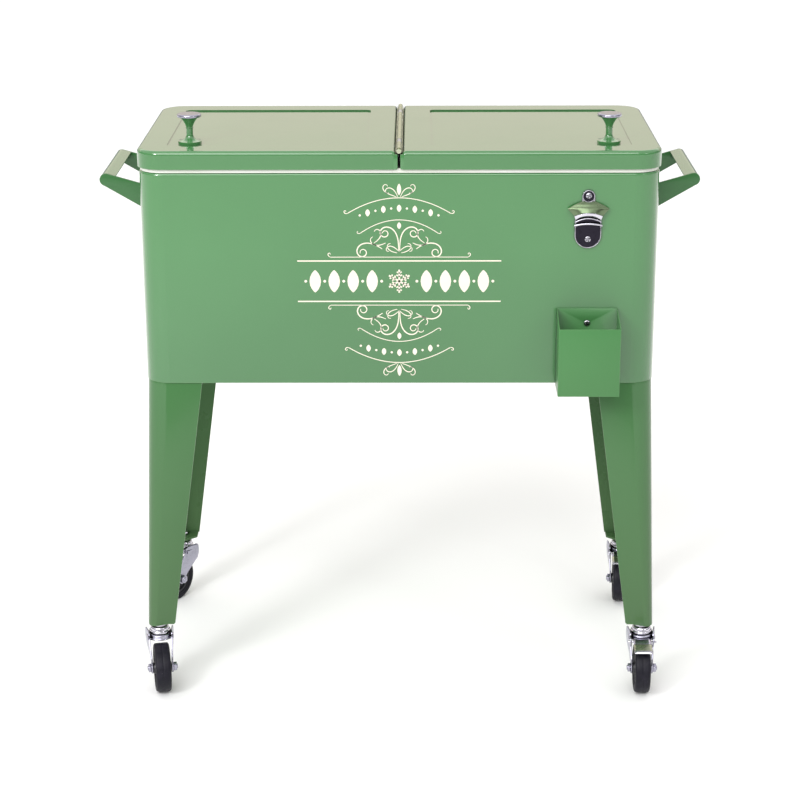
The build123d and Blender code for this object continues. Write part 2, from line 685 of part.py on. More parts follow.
def leg_bolt(x, y):
    """Hexagon bolt up through the leg's top plate."""
    head = extrude(RegularPolygon(5.5, 6, major_radius=False), 4.0)
    shank = extrude(Circle(3.0), LEG_PLATE)
    return Pos(x, y, TUB_BOTTOM - LEG_PLATE - 4.0) * head + Pos(x, y, TUB_BOTTOM - LEG_PLATE) * shank


def put_on_corner(solid, place):
    """Mirror a rear right-hand solid to another corner of the chest."""
    if place["x"] < 0:
        solid = mirror(solid, about=Plane.YZ)
    if place["y"] < 0:
        solid = mirror(solid, about=Plane.XZ)
    return solid


def build_legs():
    bolts = []
    for name, place in CASTERS.items():
        save(name + "_leg", put_on_corner(leg(), place))
        bolts += [put_on_corner(leg_bolt(x, y), place) for x, y in leg_bolt_points()]
    save("leg_bolts", *bolts)


# ---- casters, modelled with the stem on the Z axis and the wheel trailing towards -Y -------------
def caster_race():
    """Fixed top half of the swivel: pressed ring, stem and the nut above the leg plate."""
    ring = Pos(0, 0, RACE_BOTTOM) * extrude(Circle(RACE_RADIUS), RACE_TOP - RACE_BOTTOM)
    ring = fillet(ring.edges().group_by(Axis.Z)[-1], 4.0)
    plate_top = RACE_TOP + 6.4 + LEG_PLATE
    washer = Pos(0, 0, RACE_TOP) * extrude(Circle(10.0), 6.4)
    stem_bottom = FORK_CROWN_BOTTOM - 1.0
    stem = Pos(0, 0, stem_bottom) * extrude(Circle(STEM_RADIUS), plate_top + 9.0 - stem_bottom)
    nut = Pos(0, 0, plate_top) * extrude(RegularPolygon(8.0, 6, major_radius=False), 6.0)
    return ring + washer + stem + nut


def fork(brake):
    """Swivelling fork: lower race, crown and two bent wings, with ears for a brake's pin."""
    crown = extrude(Circle(FORK_TOP_HALF_GAP + FORK_SHEET), FORK_CROWN_TOP - FORK_CROWN_BOTTOM)
    crown = Pos(0, 0, FORK_CROWN_BOTTOM) * crown
    race = Pos(0, 0, FORK_CROWN_TOP) * extrude(Circle(LOWER_RACE_RADIUS), RACE_BOTTOM - 0.3 - FORK_CROWN_TOP)
    race = fillet(race.edges().group_by(Axis.Z)[-1], 1.5)
    side_outline = Polyline(
        (-17.0, FORK_SHOULDER_TOP - 5.0),
        (-12.0, FORK_SHOULDER_TOP),
        (10.0, FORK_SHOULDER_TOP),
        (15.0, FORK_SHOULDER_TOP - 6.0),
        (14.0, 72.0),
        (-CASTER_TRAIL + 9.0, WHEEL_RADIUS - 3.0),
        (-CASTER_TRAIL, WHEEL_RADIUS - 9.5),
        (-CASTER_TRAIL - 9.0, WHEEL_RADIUS - 3.0),
        (-CASTER_TRAIL - 9.0, WHEEL_RADIUS + 5.0),
        (-28.0, 66.0),
        close=True,
    )
    ear_outline = Polyline(
        (FORK_EAR_BACK, FORK_EAR_TOP),
        (-15.0, FORK_EAR_TOP),
        (-22.0, 70.0),
        (-28.2, 66.0),
        (FORK_EAR_FRONT, PEDAL_PIN_Z - 3.5),
        (FORK_EAR_FRONT, FORK_EAR_TOP),
        close=True,
    )
    sides = make_face(side_outline)
    if brake:
        sides += make_face(ear_outline)
    sides = Plane.YZ * sides
    sides = extrude(sides, 2 * FORK_TOP_HALF_GAP, both=True)
    low = FORK_HALF_GAP
    high = FORK_TOP_HALF_GAP
    wing_bottom = WHEEL_RADIUS - 12.0
    bent = Polyline(
        (low, wing_bottom),
        (low, 54.0),
        (high, 74.0),
        (high, FORK_SHOULDER_TOP),
        (high + FORK_SHEET, FORK_SHOULDER_TOP),
        (high + FORK_SHEET, 74.0),
        (low + FORK_SHEET, 54.0),
        (low + FORK_SHEET, wing_bottom),
        close=True,
    )
    band = extrude(Plane.XZ * make_face(bent), 60.0, both=True)
    wings = (sides & band) + (sides & mirror(band, about=Plane.YZ))
    body = crown + race + wings
    body -= Pos(0, 0, FORK_CROWN_BOTTOM - 2.0) * extrude(Circle(STEM_RADIUS + STEM_CLEARANCE), 20.0)
    body -= rod(AXLE_RADIUS, (-30, -CASTER_TRAIL, WHEEL_RADIUS), (30, -CASTER_TRAIL, WHEEL_RADIUS))
    if brake:
        hole = PEDAL_PIN_RADIUS + PEDAL_PIN_CLEARANCE
        body -= rod(hole, (-30, PEDAL_PIN_Y, PEDAL_PIN_Z), (30, PEDAL_PIN_Y, PEDAL_PIN_Z))
    return body


def wheel_core():
    """Moulded wheel centre with a long hub."""
    y = -CASTER_TRAIL
    core = rod(CORE_RADIUS, (-9.0, y, WHEEL_RADIUS), (9.0, y, WHEEL_RADIUS))
    core += rod(11.0, (-HUB_HALF_WIDTH, y, WHEEL_RADIUS), (HUB_HALF_WIDTH, y, WHEEL_RADIUS))
    bore = AXLE_RADIUS + AXLE_CLEARANCE
    return core - rod(bore, (-20, y, WHEEL_RADIUS), (20, y, WHEEL_RADIUS))


def tyre():
    """Solid rubber tread ring with rounded shoulders."""
    y = -CASTER_TRAIL
    ring = rod(WHEEL_RADIUS, (-WHEEL_HALF_WIDTH, y, WHEEL_RADIUS), (WHEEL_HALF_WIDTH, y, WHEEL_RADIUS))
    ring = fillet(ring.edges().filter_by(GeomType.CIRCLE), 4.5)
    return ring - rod(CORE_RADIUS, (-20, y, WHEEL_RADIUS), (20, y, WHEEL_RADIUS))


def axle_bolt():
    """Axle with a hexagon head on one end and a nut on the other."""
    y = -CASTER_TRAIL
    face = FORK_HALF_GAP + FORK_SHEET
    bolt = rod(AXLE_RADIUS, (-face - 6.5, y, WHEEL_RADIUS), (face + 7.5, y, WHEEL_RADIUS))
    for start, length in ((-face, -5.0), (face, 6.0)):
        plane = Plane(origin=(start, y, WHEEL_RADIUS), z_dir=(1, 0, 0))
        bolt += plane * extrude(RegularPolygon(6.5, 6, major_radius=False), length)
    return bolt


def brake_pedal():
    """Sprung foot lever on a pin between the fork's ears, with a shoe above the tread."""
    tip_y = PEDAL_PIN_Y - 33.0
    arm = Polyline(
        (PEDAL_PIN_Y + 2.4, PEDAL_PIN_Z + 2.8),
        (PEDAL_PIN_Y, PEDAL_PIN_Z + 3.4),
        (tip_y, PEDAL_PIN_Z - 3.0),
        (tip_y, PEDAL_PIN_Z - 6.0),
        (PEDAL_PIN_Y - 2.0, PEDAL_PIN_Z - 0.5),
        (PEDAL_PIN_Y + 2.4, PEDAL_PIN_Z - 1.6),
        close=True,
    )
    pedal = extrude(Plane.YZ * make_face(arm), PEDAL_HALF_WIDTH, both=True)
    pin_end = FORK_TOP_HALF_GAP + FORK_SHEET + 0.8
    pin = rod(PEDAL_PIN_RADIUS, (-pin_end, PEDAL_PIN_Y, PEDAL_PIN_Z), (pin_end, PEDAL_PIN_Y, PEDAL_PIN_Z))
    return pedal + pin


def build_casters():
    for name, place in CASTERS.items():
        stem = Pos(place["x"] * CASTER_X, place["y"] * CASTER_Y, 0)
        spot = stem * Rot(0, 0, place["yaw"])
        save(name + "_caster_race", stem * caster_race())
        save(name + "_fork", spot * fork(place["brake"]))
        save(name + "_wheel_core", spot * wheel_core())
        save(name + "_tyre", spot * tyre())
        save(name + "_axle_bolt", spot * axle_bolt())
        if place["brake"]:
            save(name + "_brake_pedal", spot * brake_pedal())


# ---- drain ----------------------------------------------------------------------------------
def drain_spout():
    """Flanged tube from the well's floor to below the tub."""
    tube = drain_bore(DRAIN_SPOUT_RADIUS, DRAIN_SPOUT_END, WELL_FLOOR)
    tube += drain_bore(DRAIN_SPOUT_RADIUS + 5.0, WELL_FLOOR, WELL_FLOOR + 2.0)
    return tube - drain_bore(DRAIN_BORE_RADIUS, DRAIN_SPOUT_END, WELL_FLOOR + 2.0)


def drain_nut():
    """Hexagon nut that clamps the spout under the pan."""
    z1 = TUB_BOTTOM + SHEET
    nut = Pos(0, DRAIN_Y, z1 - 6.0) * extrude(RegularPolygon(15.0, 6, major_radius=False), 6.0)
    return nut - drain_bore(DRAIN_SPOUT_RADIUS, z1 - 6.0, z1)


def drain_cap():
    """Ribbed screw cap over the spout."""
    cap = drain_bore(DRAIN_CAP_RADIUS, DRAIN_CAP_BOTTOM, DRAIN_CAP_TOP)
    for index in range(DRAIN_CAP_RIBS):
        turn = Rot(0, 0, index * 360.0 / DRAIN_CAP_RIBS)
        rib = Pos(DRAIN_CAP_RADIUS, 0, 0) * extrude(Circle(1.2), DRAIN_CAP_TOP - DRAIN_CAP_BOTTOM - 3.0)
        cap += Pos(0, DRAIN_Y, DRAIN_CAP_BOTTOM + 1.5) * turn * rib
    seat = DRAIN_SPOUT_END - DRAIN_SEAL_THICKNESS - DRAIN_SEAL_GAP
    return cap - drain_bore(DRAIN_SPOUT_RADIUS + PIN_CLEARANCE, seat, DRAIN_CAP_TOP)


def drain_seal():
    """Rubber washer between the cap and the spout's end."""
    z1 = DRAIN_SPOUT_END - DRAIN_SEAL_GAP
    seal = drain_bore(DRAIN_SPOUT_RADIUS - 0.4, z1 - DRAIN_SEAL_THICKNESS, z1)
    return seal - drain_bore(DRAIN_BORE_RADIUS, z1 - DRAIN_SEAL_THICKNESS, z1)


def build_drain():
    save("drain_spout", drain_spout())
    save("drain_nut", drain_nut())
    save("drain_cap", drain_cap())
    save("drain_seal", drain_seal())


os.makedirs("parts", exist_ok=True)
build_tub()
build_lids()
build_handles()
build_front_fittings()
build_legs()
build_casters()
build_drain()
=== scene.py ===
import json
import math

import bmesh
import bpy
from mathutils import Matrix, Vector


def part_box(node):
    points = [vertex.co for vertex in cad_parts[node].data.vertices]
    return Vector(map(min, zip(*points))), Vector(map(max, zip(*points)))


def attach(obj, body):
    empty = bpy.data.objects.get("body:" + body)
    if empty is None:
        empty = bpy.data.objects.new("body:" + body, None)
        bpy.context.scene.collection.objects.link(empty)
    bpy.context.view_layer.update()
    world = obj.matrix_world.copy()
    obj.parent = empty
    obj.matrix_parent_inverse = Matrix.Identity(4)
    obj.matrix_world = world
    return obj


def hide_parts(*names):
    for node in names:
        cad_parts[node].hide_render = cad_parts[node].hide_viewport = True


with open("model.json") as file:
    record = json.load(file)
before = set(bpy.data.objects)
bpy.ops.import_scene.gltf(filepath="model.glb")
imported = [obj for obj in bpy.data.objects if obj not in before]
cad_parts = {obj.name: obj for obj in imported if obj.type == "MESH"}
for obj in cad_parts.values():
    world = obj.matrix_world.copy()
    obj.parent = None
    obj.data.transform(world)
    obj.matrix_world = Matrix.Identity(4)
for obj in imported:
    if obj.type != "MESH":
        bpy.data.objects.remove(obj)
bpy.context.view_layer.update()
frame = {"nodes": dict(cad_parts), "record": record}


# ---- node material helpers --------------------------------------------------------------------
class Shader:
    """A Principled material with short calls for the nodes that feed it."""

    def __init__(self, name, color=(0.8, 0.8, 0.8), roughness=0.5, metallic=0.0, **sockets):
        self.material = bpy.data.materials.new(name)
        self.material.use_nodes = True
        self.tree = self.material.node_tree
        self.main = self.tree.nodes["Principled BSDF"]
        self.main.inputs["Base Color"].default_value = (*color, 1)
        self.main.inputs["Roughness"].default_value = roughness
        self.main.inputs["Metallic"].default_value = metallic
        for label, value in sockets.items():
            self.main.inputs[label.replace("_", " ")].default_value = value
        coordinates = self.node("ShaderNodeTexCoord")
        self.place = coordinates.outputs["Object"]

    def node(self, kind, **settings):
        made = self.tree.nodes.new(kind)
        for key, value in settings.items():
            setattr(made, key, value)
        return made

    def link(self, source, target):
        self.tree.links.new(source, target)

    def stretch(self, scale):
        """Object coordinates with a different scale along each axis."""
        mapping = self.node("ShaderNodeMapping")
        mapping.inputs["Scale"].default_value = scale
        self.link(self.place, mapping.inputs["Vector"])
        return mapping.outputs["Vector"]

    def noise(self, scale, detail=3.0, roughness=0.5, vector=None):
        made = self.node("ShaderNodeTexNoise")
        made.inputs["Scale"].default_value = scale
        made.inputs["Detail"].default_value = detail
        made.inputs["Roughness"].default_value = roughness
        self.link(vector or self.place, made.inputs["Vector"])
        return made.outputs["Fac"]

    def voronoi(self, scale):
        made = self.node("ShaderNodeTexVoronoi", feature="F1")
        made.inputs["Scale"].default_value = scale
        self.link(self.place, made.inputs["Vector"])
        return made.outputs["Distance"]

    def remap(self, source, low, high, new_low, new_high):
        made = self.node("ShaderNodeMapRange")
        ends = {"From Min": low, "From Max": high, "To Min": new_low, "To Max": new_high}
        for label, value in ends.items():
            made.inputs[label].default_value = value
        self.link(source, made.inputs["Value"])
        return made.outputs["Result"]

    def mix(self, factor, first, second):
        """Colour mix; each colour is a tuple or a socket."""
        made = self.node("ShaderNodeMix", data_type="RGBA")
        self.link(factor, made.inputs["Factor"])
        for label, value in (("A", first), ("B", second)):
            socket = [s for s in made.inputs if s.name == label and s.type == "RGBA"][0]
            if isinstance(value, tuple):
                socket.default_value = (*value, 1)
            else:
                self.link(value, socket)
        return [s for s in made.outputs if s.type == "RGBA"][0]

    def color(self, source):
        self.link(source, self.main.inputs["Base Color"])

    def roughness(self, source):
        self.link(source, self.main.inputs["Roughness"])

    def bump(self, source, distance):
        """Add a bump on top of any bump already there."""
        made = self.node("ShaderNodeBump")
        made.inputs["Strength"].default_value = 1.0
        made.inputs["Distance"].default_value = distance
        self.link(source, made.inputs["Height"])
        normal = self.main.inputs["Normal"]
        if normal.is_linked:
            self.link(normal.links[0].from_socket, made.inputs["Normal"])
        self.link(made.outputs["Normal"], normal)


def crevice_shade_mask(shader, reach):
    """Ambient occlusion used to paint shade: 0 deep in a gap or corner to 1 in the open."""
    made = shader.node("ShaderNodeAmbientOcclusion", samples=6)
    made.inputs["Distance"].default_value = reach
    return shader.remap(made.outputs["AO"], 0.25, 0.85, 0.0, 1.0)


def edge_highlight_mask(shader, radius):
    """Mask for painted edge highlights: 0 on flats to 1 on sharp convex edges, from the bevel-normal
    difference.
    """
    bevel = shader.node("ShaderNodeBevel", samples=4)
    bevel.inputs["Radius"].default_value = radius
    geometry = shader.node("ShaderNodeNewGeometry")
    dot = shader.node("ShaderNodeVectorMath", operation="DOT_PRODUCT")
    shader.link(bevel.outputs["Normal"], dot.inputs[0])
    shader.link(geometry.outputs["Normal"], dot.inputs[1])
    return shader.remap(dot.outputs["Value"], 0.98, 0.80, 0.0, 1.0)


# ---- materials ----------------------------------------------------------------------------------
GREEN = (0.056, 0.205, 0.062)
LOW_WARM_GREEN = (0.062, 0.125, 0.048)
LOW_SHADE_GREEN = (0.018, 0.07, 0.02)
CREVICE_SHADE_GREEN = (0.012, 0.04, 0.016)
EDGE_HIGHLIGHT_GREEN = (0.26, 0.42, 0.22)
SPECK_GREEN = (0.14, 0.34, 0.15)
ORANGE_PEEL = 0.00003


def powder_coat(name, shade=1.0, gloss=0.12, coat=1.0, shade_reach=0.005, sheen=0.5, low=LOW_WARM_GREEN):
    """Gloss powder coat on sheet steel: tone drift, orange peel, painted shade in seams, painted highlights
    on edges.

    shade scales the green, the reach given for seams is how far the painted shade reaches from a corner,
    sheen is the specular level under the clear coat, and low is the tone that the paint drifts to near the
    floor: painted shade on the tub, a warmer tone on the other paints.
    """
    base = tuple(shade * value for value in GREEN)
    lacquer = {"Coat_Weight": coat, "Coat_Roughness": 0.05, "Coat_IOR": 1.5}
    s = Shader(name, base, gloss, Specular_IOR_Level=sheen, **lacquer)
    deep = (base[0] * 0.9, base[1] * 0.92, base[2] * 0.9)
    pale = (base[0] * 1.12, base[1] * 1.07, base[2] * 1.1)
    tone = s.mix(s.remap(s.noise(2.2, 3.0, 0.5), 0.3, 0.7, 0.0, 1.0), deep, pale)
    speck = s.remap(s.noise(900.0, 2.0, 0.6), 0.62, 0.8, 0.0, 0.22)
    tone = s.mix(speck, tone, SPECK_GREEN)
    split = s.node("ShaderNodeSeparateXYZ")
    s.link(s.place, split.inputs["Vector"])
    # darker or warmer towards the floor; on the tub this is painted shade
    low_down = s.remap(split.outputs["Z"], 0.7, 0.12, 0.0, 0.8)
    tone = s.mix(low_down, tone, low)
    # painted highlights: the tone turns paler along sharp edges
    edge = s.remap(edge_highlight_mask(s, 0.0012), 0.1, 1.0, 0.0, 0.6)
    tone = s.mix(edge, tone, EDGE_HIGHLIGHT_GREEN)
    # painted shade: the tone darkens towards a dark green in seams and corners, from ambient occlusion
    s.color(s.mix(s.remap(crevice_shade_mask(s, shade_reach), 0.0, 1.0, 0.8, 0.0), tone, CREVICE_SHADE_GREEN))
    dull = s.noise(7.0, 5.0, 0.65)
    s.roughness(s.remap(dull, 0.35, 0.75, gloss, gloss + 0.12))
    s.bump(s.noise(420.0, 2.0, 0.5), ORANGE_PEEL)
    s.bump(s.noise(30.0, 1.0, 0.4), ORANGE_PEEL * 3)
    return s.material


def chrome(name, roughness=0.07, tint=(0.70, 0.68, 0.76), shade_reach=0.007):
    """Plated steel with fine pits, smudges and painted shade in seams."""
    s = Shader(name, tint, roughness, 1.0)
    smudge = s.noise(60.0, 4.0, 0.6)
    s.roughness(s.remap(smudge, 0.35, 0.8, roughness, roughness + 0.18))
    dark = tuple(0.75 * value for value in tint)
    tone = s.mix(s.remap(s.noise(180.0, 3.0, 0.6), 0.5, 0.8, 0.0, 1.0), tint, dark)
    # painted shade: nearly black in seams and gaps, from ambient occlusion
    s.color(s.mix(crevice_shade_mask(s, shade_reach), (0.025, 0.023, 0.03), tone))
    s.bump(s.noise(700.0, 2.0, 0.6), 0.00002)
    return s.material


def zinc_steel(name):
    """Dull zinc-plated steel with a brushed direction."""
    s = Shader(name, (0.62, 0.63, 0.65), 0.32, 1.0)
    grain = s.noise(30.0, 4.0, 0.7, s.stretch((1.0, 30.0, 30.0)))
    s.roughness(s.remap(grain, 0.3, 0.7, 0.24, 0.42))
    s.color(s.mix(s.noise(90.0, 3.0, 0.6), (0.5, 0.51, 0.54), (0.72, 0.73, 0.75)))
    s.bump(grain, 0.00003)
    return s.material


def hinge_steel(name):
    """Warm-toned plated hinge with painted shade in the gaps round the knuckles."""
    s = Shader(name, (0.56, 0.6, 0.44), 0.26, 1.0)
    grain = s.noise(40.0, 4.0, 0.7, s.stretch((1.0, 30.0, 1.0)))
    s.roughness(s.remap(grain, 0.3, 0.7, 0.2, 0.36))
    tone = s.mix(s.noise(90.0, 3.0, 0.6), (0.5, 0.54, 0.38), (0.66, 0.7, 0.52))
    # painted shade: nearly black in the gaps, from ambient occlusion
    s.color(s.mix(crevice_shade_mask(s, 0.006), (0.01, 0.012, 0.008), tone))
    s.bump(grain, 0.00002)
    return s.material


def black_rubber(name):
    """Black caster tyre: fine grain, paler scuffs and grey dust on the tread."""
    s = Shader(name, (0.008, 0.007, 0.013), 0.5, 0.0, Specular_IOR_Level=0.26)
    scuff = s.noise(55.0, 5.0, 0.7)
    dust = s.remap(scuff, 0.5, 0.78, 0.0, 0.55)
    tone = s.mix(dust, (0.004, 0.0035, 0.009), (0.026, 0.023, 0.037))
    fleck = s.remap(s.noise(420.0, 2.0, 0.6), 0.66, 0.78, 0.0, 0.5)
    s.color(s.mix(fleck, tone, (0.12, 0.115, 0.14)))
    s.roughness(s.remap(scuff, 0.3, 0.7, 0.38, 0.62))
    s.bump(s.noise(1500.0, 3.0, 0.6), 0.00006)
    s.bump(s.noise(160.0, 3.0, 0.6), 0.00008)
    return s.material


def black_plastic(name):
    """Moulded black nylon with a fine spark-eroded grain."""
    s = Shader(name, (0.018, 0.018, 0.022), 0.35, 0.0)
    s.color(s.mix(s.noise(40.0, 3.0, 0.6), (0.014, 0.014, 0.018), (0.034, 0.034, 0.04)))
    s.roughness(s.remap(s.noise(120.0, 3.0, 0.6), 0.3, 0.7, 0.28, 0.46))
    s.bump(s.voronoi(2200.0), 0.00003)
    return s.material


def white_plastic(name):
    """Moulded white plastic with soft mottling and moulding haze."""
    tint = (0.78, 0.78, 0.76)
    warm = (tint[0] * 0.985, tint[1] * 0.98, tint[2] * 0.955)
    s = Shader(name, tint, 0.3, 0.0, Subsurface_Weight=0.05)
    s.color(s.mix(s.remap(s.noise(9.0, 4.0, 0.6), 0.35, 0.7, 0.0, 1.0), tint, warm))
    s.roughness(s.remap(s.noise(30.0, 3.0, 0.6), 0.3, 0.7, 0.3, 0.38))
    s.bump(s.noise(600.0, 2.0, 0.5), 0.00003)
    return s.material


def rim_plastic(name):
    """White edge trim with painted shade in the gap under the lids and along the tub."""
    clean, worn = (0.76, 0.77, 0.72), (0.66, 0.69, 0.6)
    s = Shader(name, clean, 0.34, 0.0)
    tone = s.mix(s.remap(s.noise(12.0, 4.0, 0.6), 0.35, 0.7, 0.0, 1.0), clean, worn)
    # painted shade: dark olive in the gaps, from ambient occlusion
    s.color(s.mix(s.remap(crevice_shade_mask(s, 0.006), 0.0, 1.0, 0.85, 0.0), tone, (0.09, 0.1, 0.06)))
    s.roughness(s.remap(s.noise(30.0, 3.0, 0.6), 0.3, 0.7, 0.26, 0.44))
    s.bump(s.noise(600.0, 2.0, 0.5), 0.00003)
    return s.material


def foam_core(name):
    """Cut polyurethane foam: cream with open cells."""
    s = Shader(name, (0.8, 0.7, 0.42), 0.9, 0.0)
    s.color(s.mix(s.noise(25.0, 5.0, 0.7), (0.74, 0.63, 0.36), (0.86, 0.78, 0.52)))
    s.bump(s.voronoi(420.0), 0.0004)
    return s.material


def cream_paint(name):
    """Screen-printed cream ink: matt, slightly uneven in tone."""
    s = Shader(name, (0.82, 0.76, 0.62), 0.45, 0.0)
    s.color(s.mix(s.noise(70.0, 4.0, 0.6), (0.78, 0.72, 0.58), (0.86, 0.81, 0.68)))
    s.roughness(s.remap(s.noise(200.0, 3.0, 0.6), 0.3, 0.7, 0.38, 0.55))
    s.bump(s.noise(900.0, 2.0, 0.5), 0.00002)
    return s.material


def slit_shade_black(name):
    """Matt black sheet that paints the shade in the slit between the lids."""
    s = Shader(name, (0.004, 0.004, 0.004), 0.95, 0.0, Specular_IOR_Level=0.1)
    s.color(s.mix(s.noise(400.0, 3.0, 0.6), (0.002, 0.002, 0.002), (0.008, 0.008, 0.008)))
    s.bump(s.voronoi(1800.0), 0.0001)
    return s.material


MATERIALS = {
    # a black sheet that paints the shade in the slit between the lids
    "slit_shade_black": slit_shade_black("slit_shade_black"),
    # the tub's paint turns darker towards the floor: painted shade
    "green_paint": powder_coat("green_powder_coat", low=LOW_SHADE_GREEN),
    # darker copy of the green for the legs: painted shade
    "leg_shade_paint": powder_coat("leg_shade_powder_coat", shade=0.82, gloss=0.16, coat=0.1, sheen=0.4),
    # darkest copy of the green for the rear legs: painted shade
    "rear_leg_shade_paint": powder_coat("rear_leg_shade_powder_coat", shade=0.45, gloss=0.25, coat=0.0, sheen=0.18),
    # darker copy of the green for the handle arms: painted shade
    "arm_shade_paint": powder_coat("arm_shade_powder_coat", shade=0.66, gloss=0.16, coat=0.1, sheen=0.4),
    "lid_paint": powder_coat("lid_powder_coat", shade=0.92, gloss=0.08),
    "knob_lacquer": powder_coat("knob_lacquer", shade=0.95, gloss=0.08),
    "chrome": chrome("bright_chrome"),
    "screw_steel": chrome("screw_steel", 0.16, (0.46, 0.45, 0.5), 0.0022),
    # darker, bluer copy of the chrome for the casters, knob caps and leg bolts: painted shade in its
    # reflections
    "shaded_chrome": chrome("shaded_chrome", 0.14, (0.43, 0.42, 0.51)),
    # near-black copy of the chrome for the opener's face: painted dark reflection
    "dark_reflection_chrome": chrome("opener_face_chrome", 0.12, (0.028, 0.025, 0.036)),
    # olive copy of the chrome for the brake plate: painted green reflection
    "pedal_olive_reflection_chrome": chrome("pedal_olive_reflection_chrome", 0.2, (0.4, 0.41, 0.32)),
    # green copy of the chrome for the opener's hood: painted green reflection
    "hood_green_reflection_chrome": chrome("opener_hood_chrome", 0.24, (0.16, 0.215, 0.125)),
    "zinc_steel": zinc_steel("zinc_steel"),
    "hinge_steel": hinge_steel("hinge_steel"),
    # the cap box's painted shade reaches further from its corners
    "box_paint": powder_coat("box_powder_coat", shade=1.08, gloss=0.34, coat=0.12, shade_reach=0.05, sheen=0.36),
    "black_rubber": black_rubber("black_rubber"),
    "black_plastic": black_plastic("black_nylon"),
    "white_plastic": white_plastic("white_plastic"),
    "rim_plastic": rim_plastic("rim_trim"),
    "foam_core": foam_core("cut_foam"),
    "cream_paint": cream_paint("cream_print"),
}
# looks that the record has no slot of their own for
# CAD nodes that look different from their slot's usual finish
NODE_LOOKS = {
    "rim_frame": "rim_plastic",
    "hinge_pin": "hinge_steel",
    "left_hinge_leaf": "hinge_steel",
    "right_hinge_leaf": "hinge_steel",
    # the knob caps and leg bolts take the darker chrome copy: painted shade
    "left_knob_cap": "shaded_chrome",
    "right_knob_cap": "shaded_chrome",
    "leg_bolts": "shaded_chrome",
}
MM = 0.001
HEAD_RADIUS = 4.7 * MM
HEAD_HEIGHT = 2.6 * MM
FIRST_SLOT_TURN = 0.35
SLOT_TURN_STEP = 0.7
SAME_POINT = 1e-6


def dress_cad_nodes():
    """Give every CAD node its own look, or that of its slot."""
    for part in frame["record"]["subparts"]:
        node = frame["nodes"][part["node"]]
        look = NODE_LOOKS.get(part["node"], part["material_slot"])
        for material_slot in node.material_slots:
            material_slot.material = MATERIALS[look]


# ---- mesh helpers -------------------------------------------------------------------------------
def finish_piece(name, mesh, slot, body, *nodes, sharp=35.0):
    """Smooth, dress and attach a piece, and let it stand for CAD nodes."""
    mesh.shade_smooth()
    mesh.set_sharp_from_angle(angle=math.radians(sharp))
    mesh.materials.clear()
    mesh.materials.append(MATERIALS[slot])
    piece = bpy.data.objects.new(name, mesh)
    bpy.context.collection.objects.link(piece)
    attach(piece, body)
    if nodes:
        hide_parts(*nodes)
    return piece


def mesh_from(bm, name):
    """Turn a bmesh into a mesh with its faces looking outwards, and free it."""
    bmesh.ops.recalc_face_normals(bm, faces=bm.faces)
    mesh = bpy.data.meshes.new(name)
    bm.to_mesh(mesh)
    bm.free()
    return mesh


def bevel_mesh(mesh, width, segments=2, angle=30.0):
    """Round every edge sharper than angle and return the new mesh."""
    holder = bpy.data.objects.new("bevel_holder", mesh)
    bpy.context.collection.objects.link(holder)
    bevel = holder.modifiers.new("bevel", "BEVEL")
    bevel.width = width
    bevel.segments = segments
    bevel.limit_method = "ANGLE"
    bevel.angle_limit = math.radians(angle)
    bevel.use_clamp_overlap = True
    graph = bpy.context.evaluated_depsgraph_get()
    made = bpy.data.meshes.new_from_object(holder.evaluated_get(graph))
    bpy.data.objects.remove(holder)
    return made


def soft_copy(node, width, slot, body):
    """Copy of a sheet-metal CAD node with its edges rounded off, standing for that node."""
    bm = bmesh.new()
    bm.from_mesh(frame["nodes"][node].data)
    bmesh.ops.remove_doubles(bm, verts=bm.verts, dist=SAME_POINT)
    bmesh.ops.dissolve_limit(bm, angle_limit=math.radians(1.0), verts=bm.verts, edges=bm.edges)
    mesh = bevel_mesh(mesh_from(bm, node), width)
    return finish_piece("soft_" + node, mesh, slot, body, node, sharp=30.0)


def scaled(pairs):
    """Pairs in millimetres, in metres."""
    return [(a * MM, b * MM) for a, b in pairs]


def lathe(bm, profile, steps, frame_matrix):
    """Revolve (radius, height) pairs about the matrix's Z axis; ends on the axis are closed."""
    rings = []
    for radius, height in profile:
        if radius < 1e-7:
            rings.append([bm.verts.new(frame_matrix @ Vector((0, 0, height)))])
            continue
        ring = []
        for step in range(steps):
            angle = math.tau * step / steps
            point = Vector((radius * math.cos(angle), radius * math.sin(angle), height))
            ring.append(bm.verts.new(frame_matrix @ point))
        rings.append(ring)
    for low, high in zip(rings, rings[1:]):
        for step in range(steps):
            after = (step + 1) % steps
            corners = [low[step % len(low)], low[after % len(low)]]
            corners += [high[after % len(high)], high[step % len(high)]]
            unique = list(dict.fromkeys(corners))
            if len(unique) > 2:
                bm.faces.new(unique)
    return rings


def turned_ring(bm, profile, steps, frame_matrix):
    """Revolve a profile that stays off the axis and close its last ring to its first."""
    rings = lathe(bm, profile, steps, frame_matrix)
    first, last = rings[0], rings[-1]
    for step in range(steps):
        after = (step + 1) % steps
        bm.faces.new((last[step], last[after], first[after], first[step]))


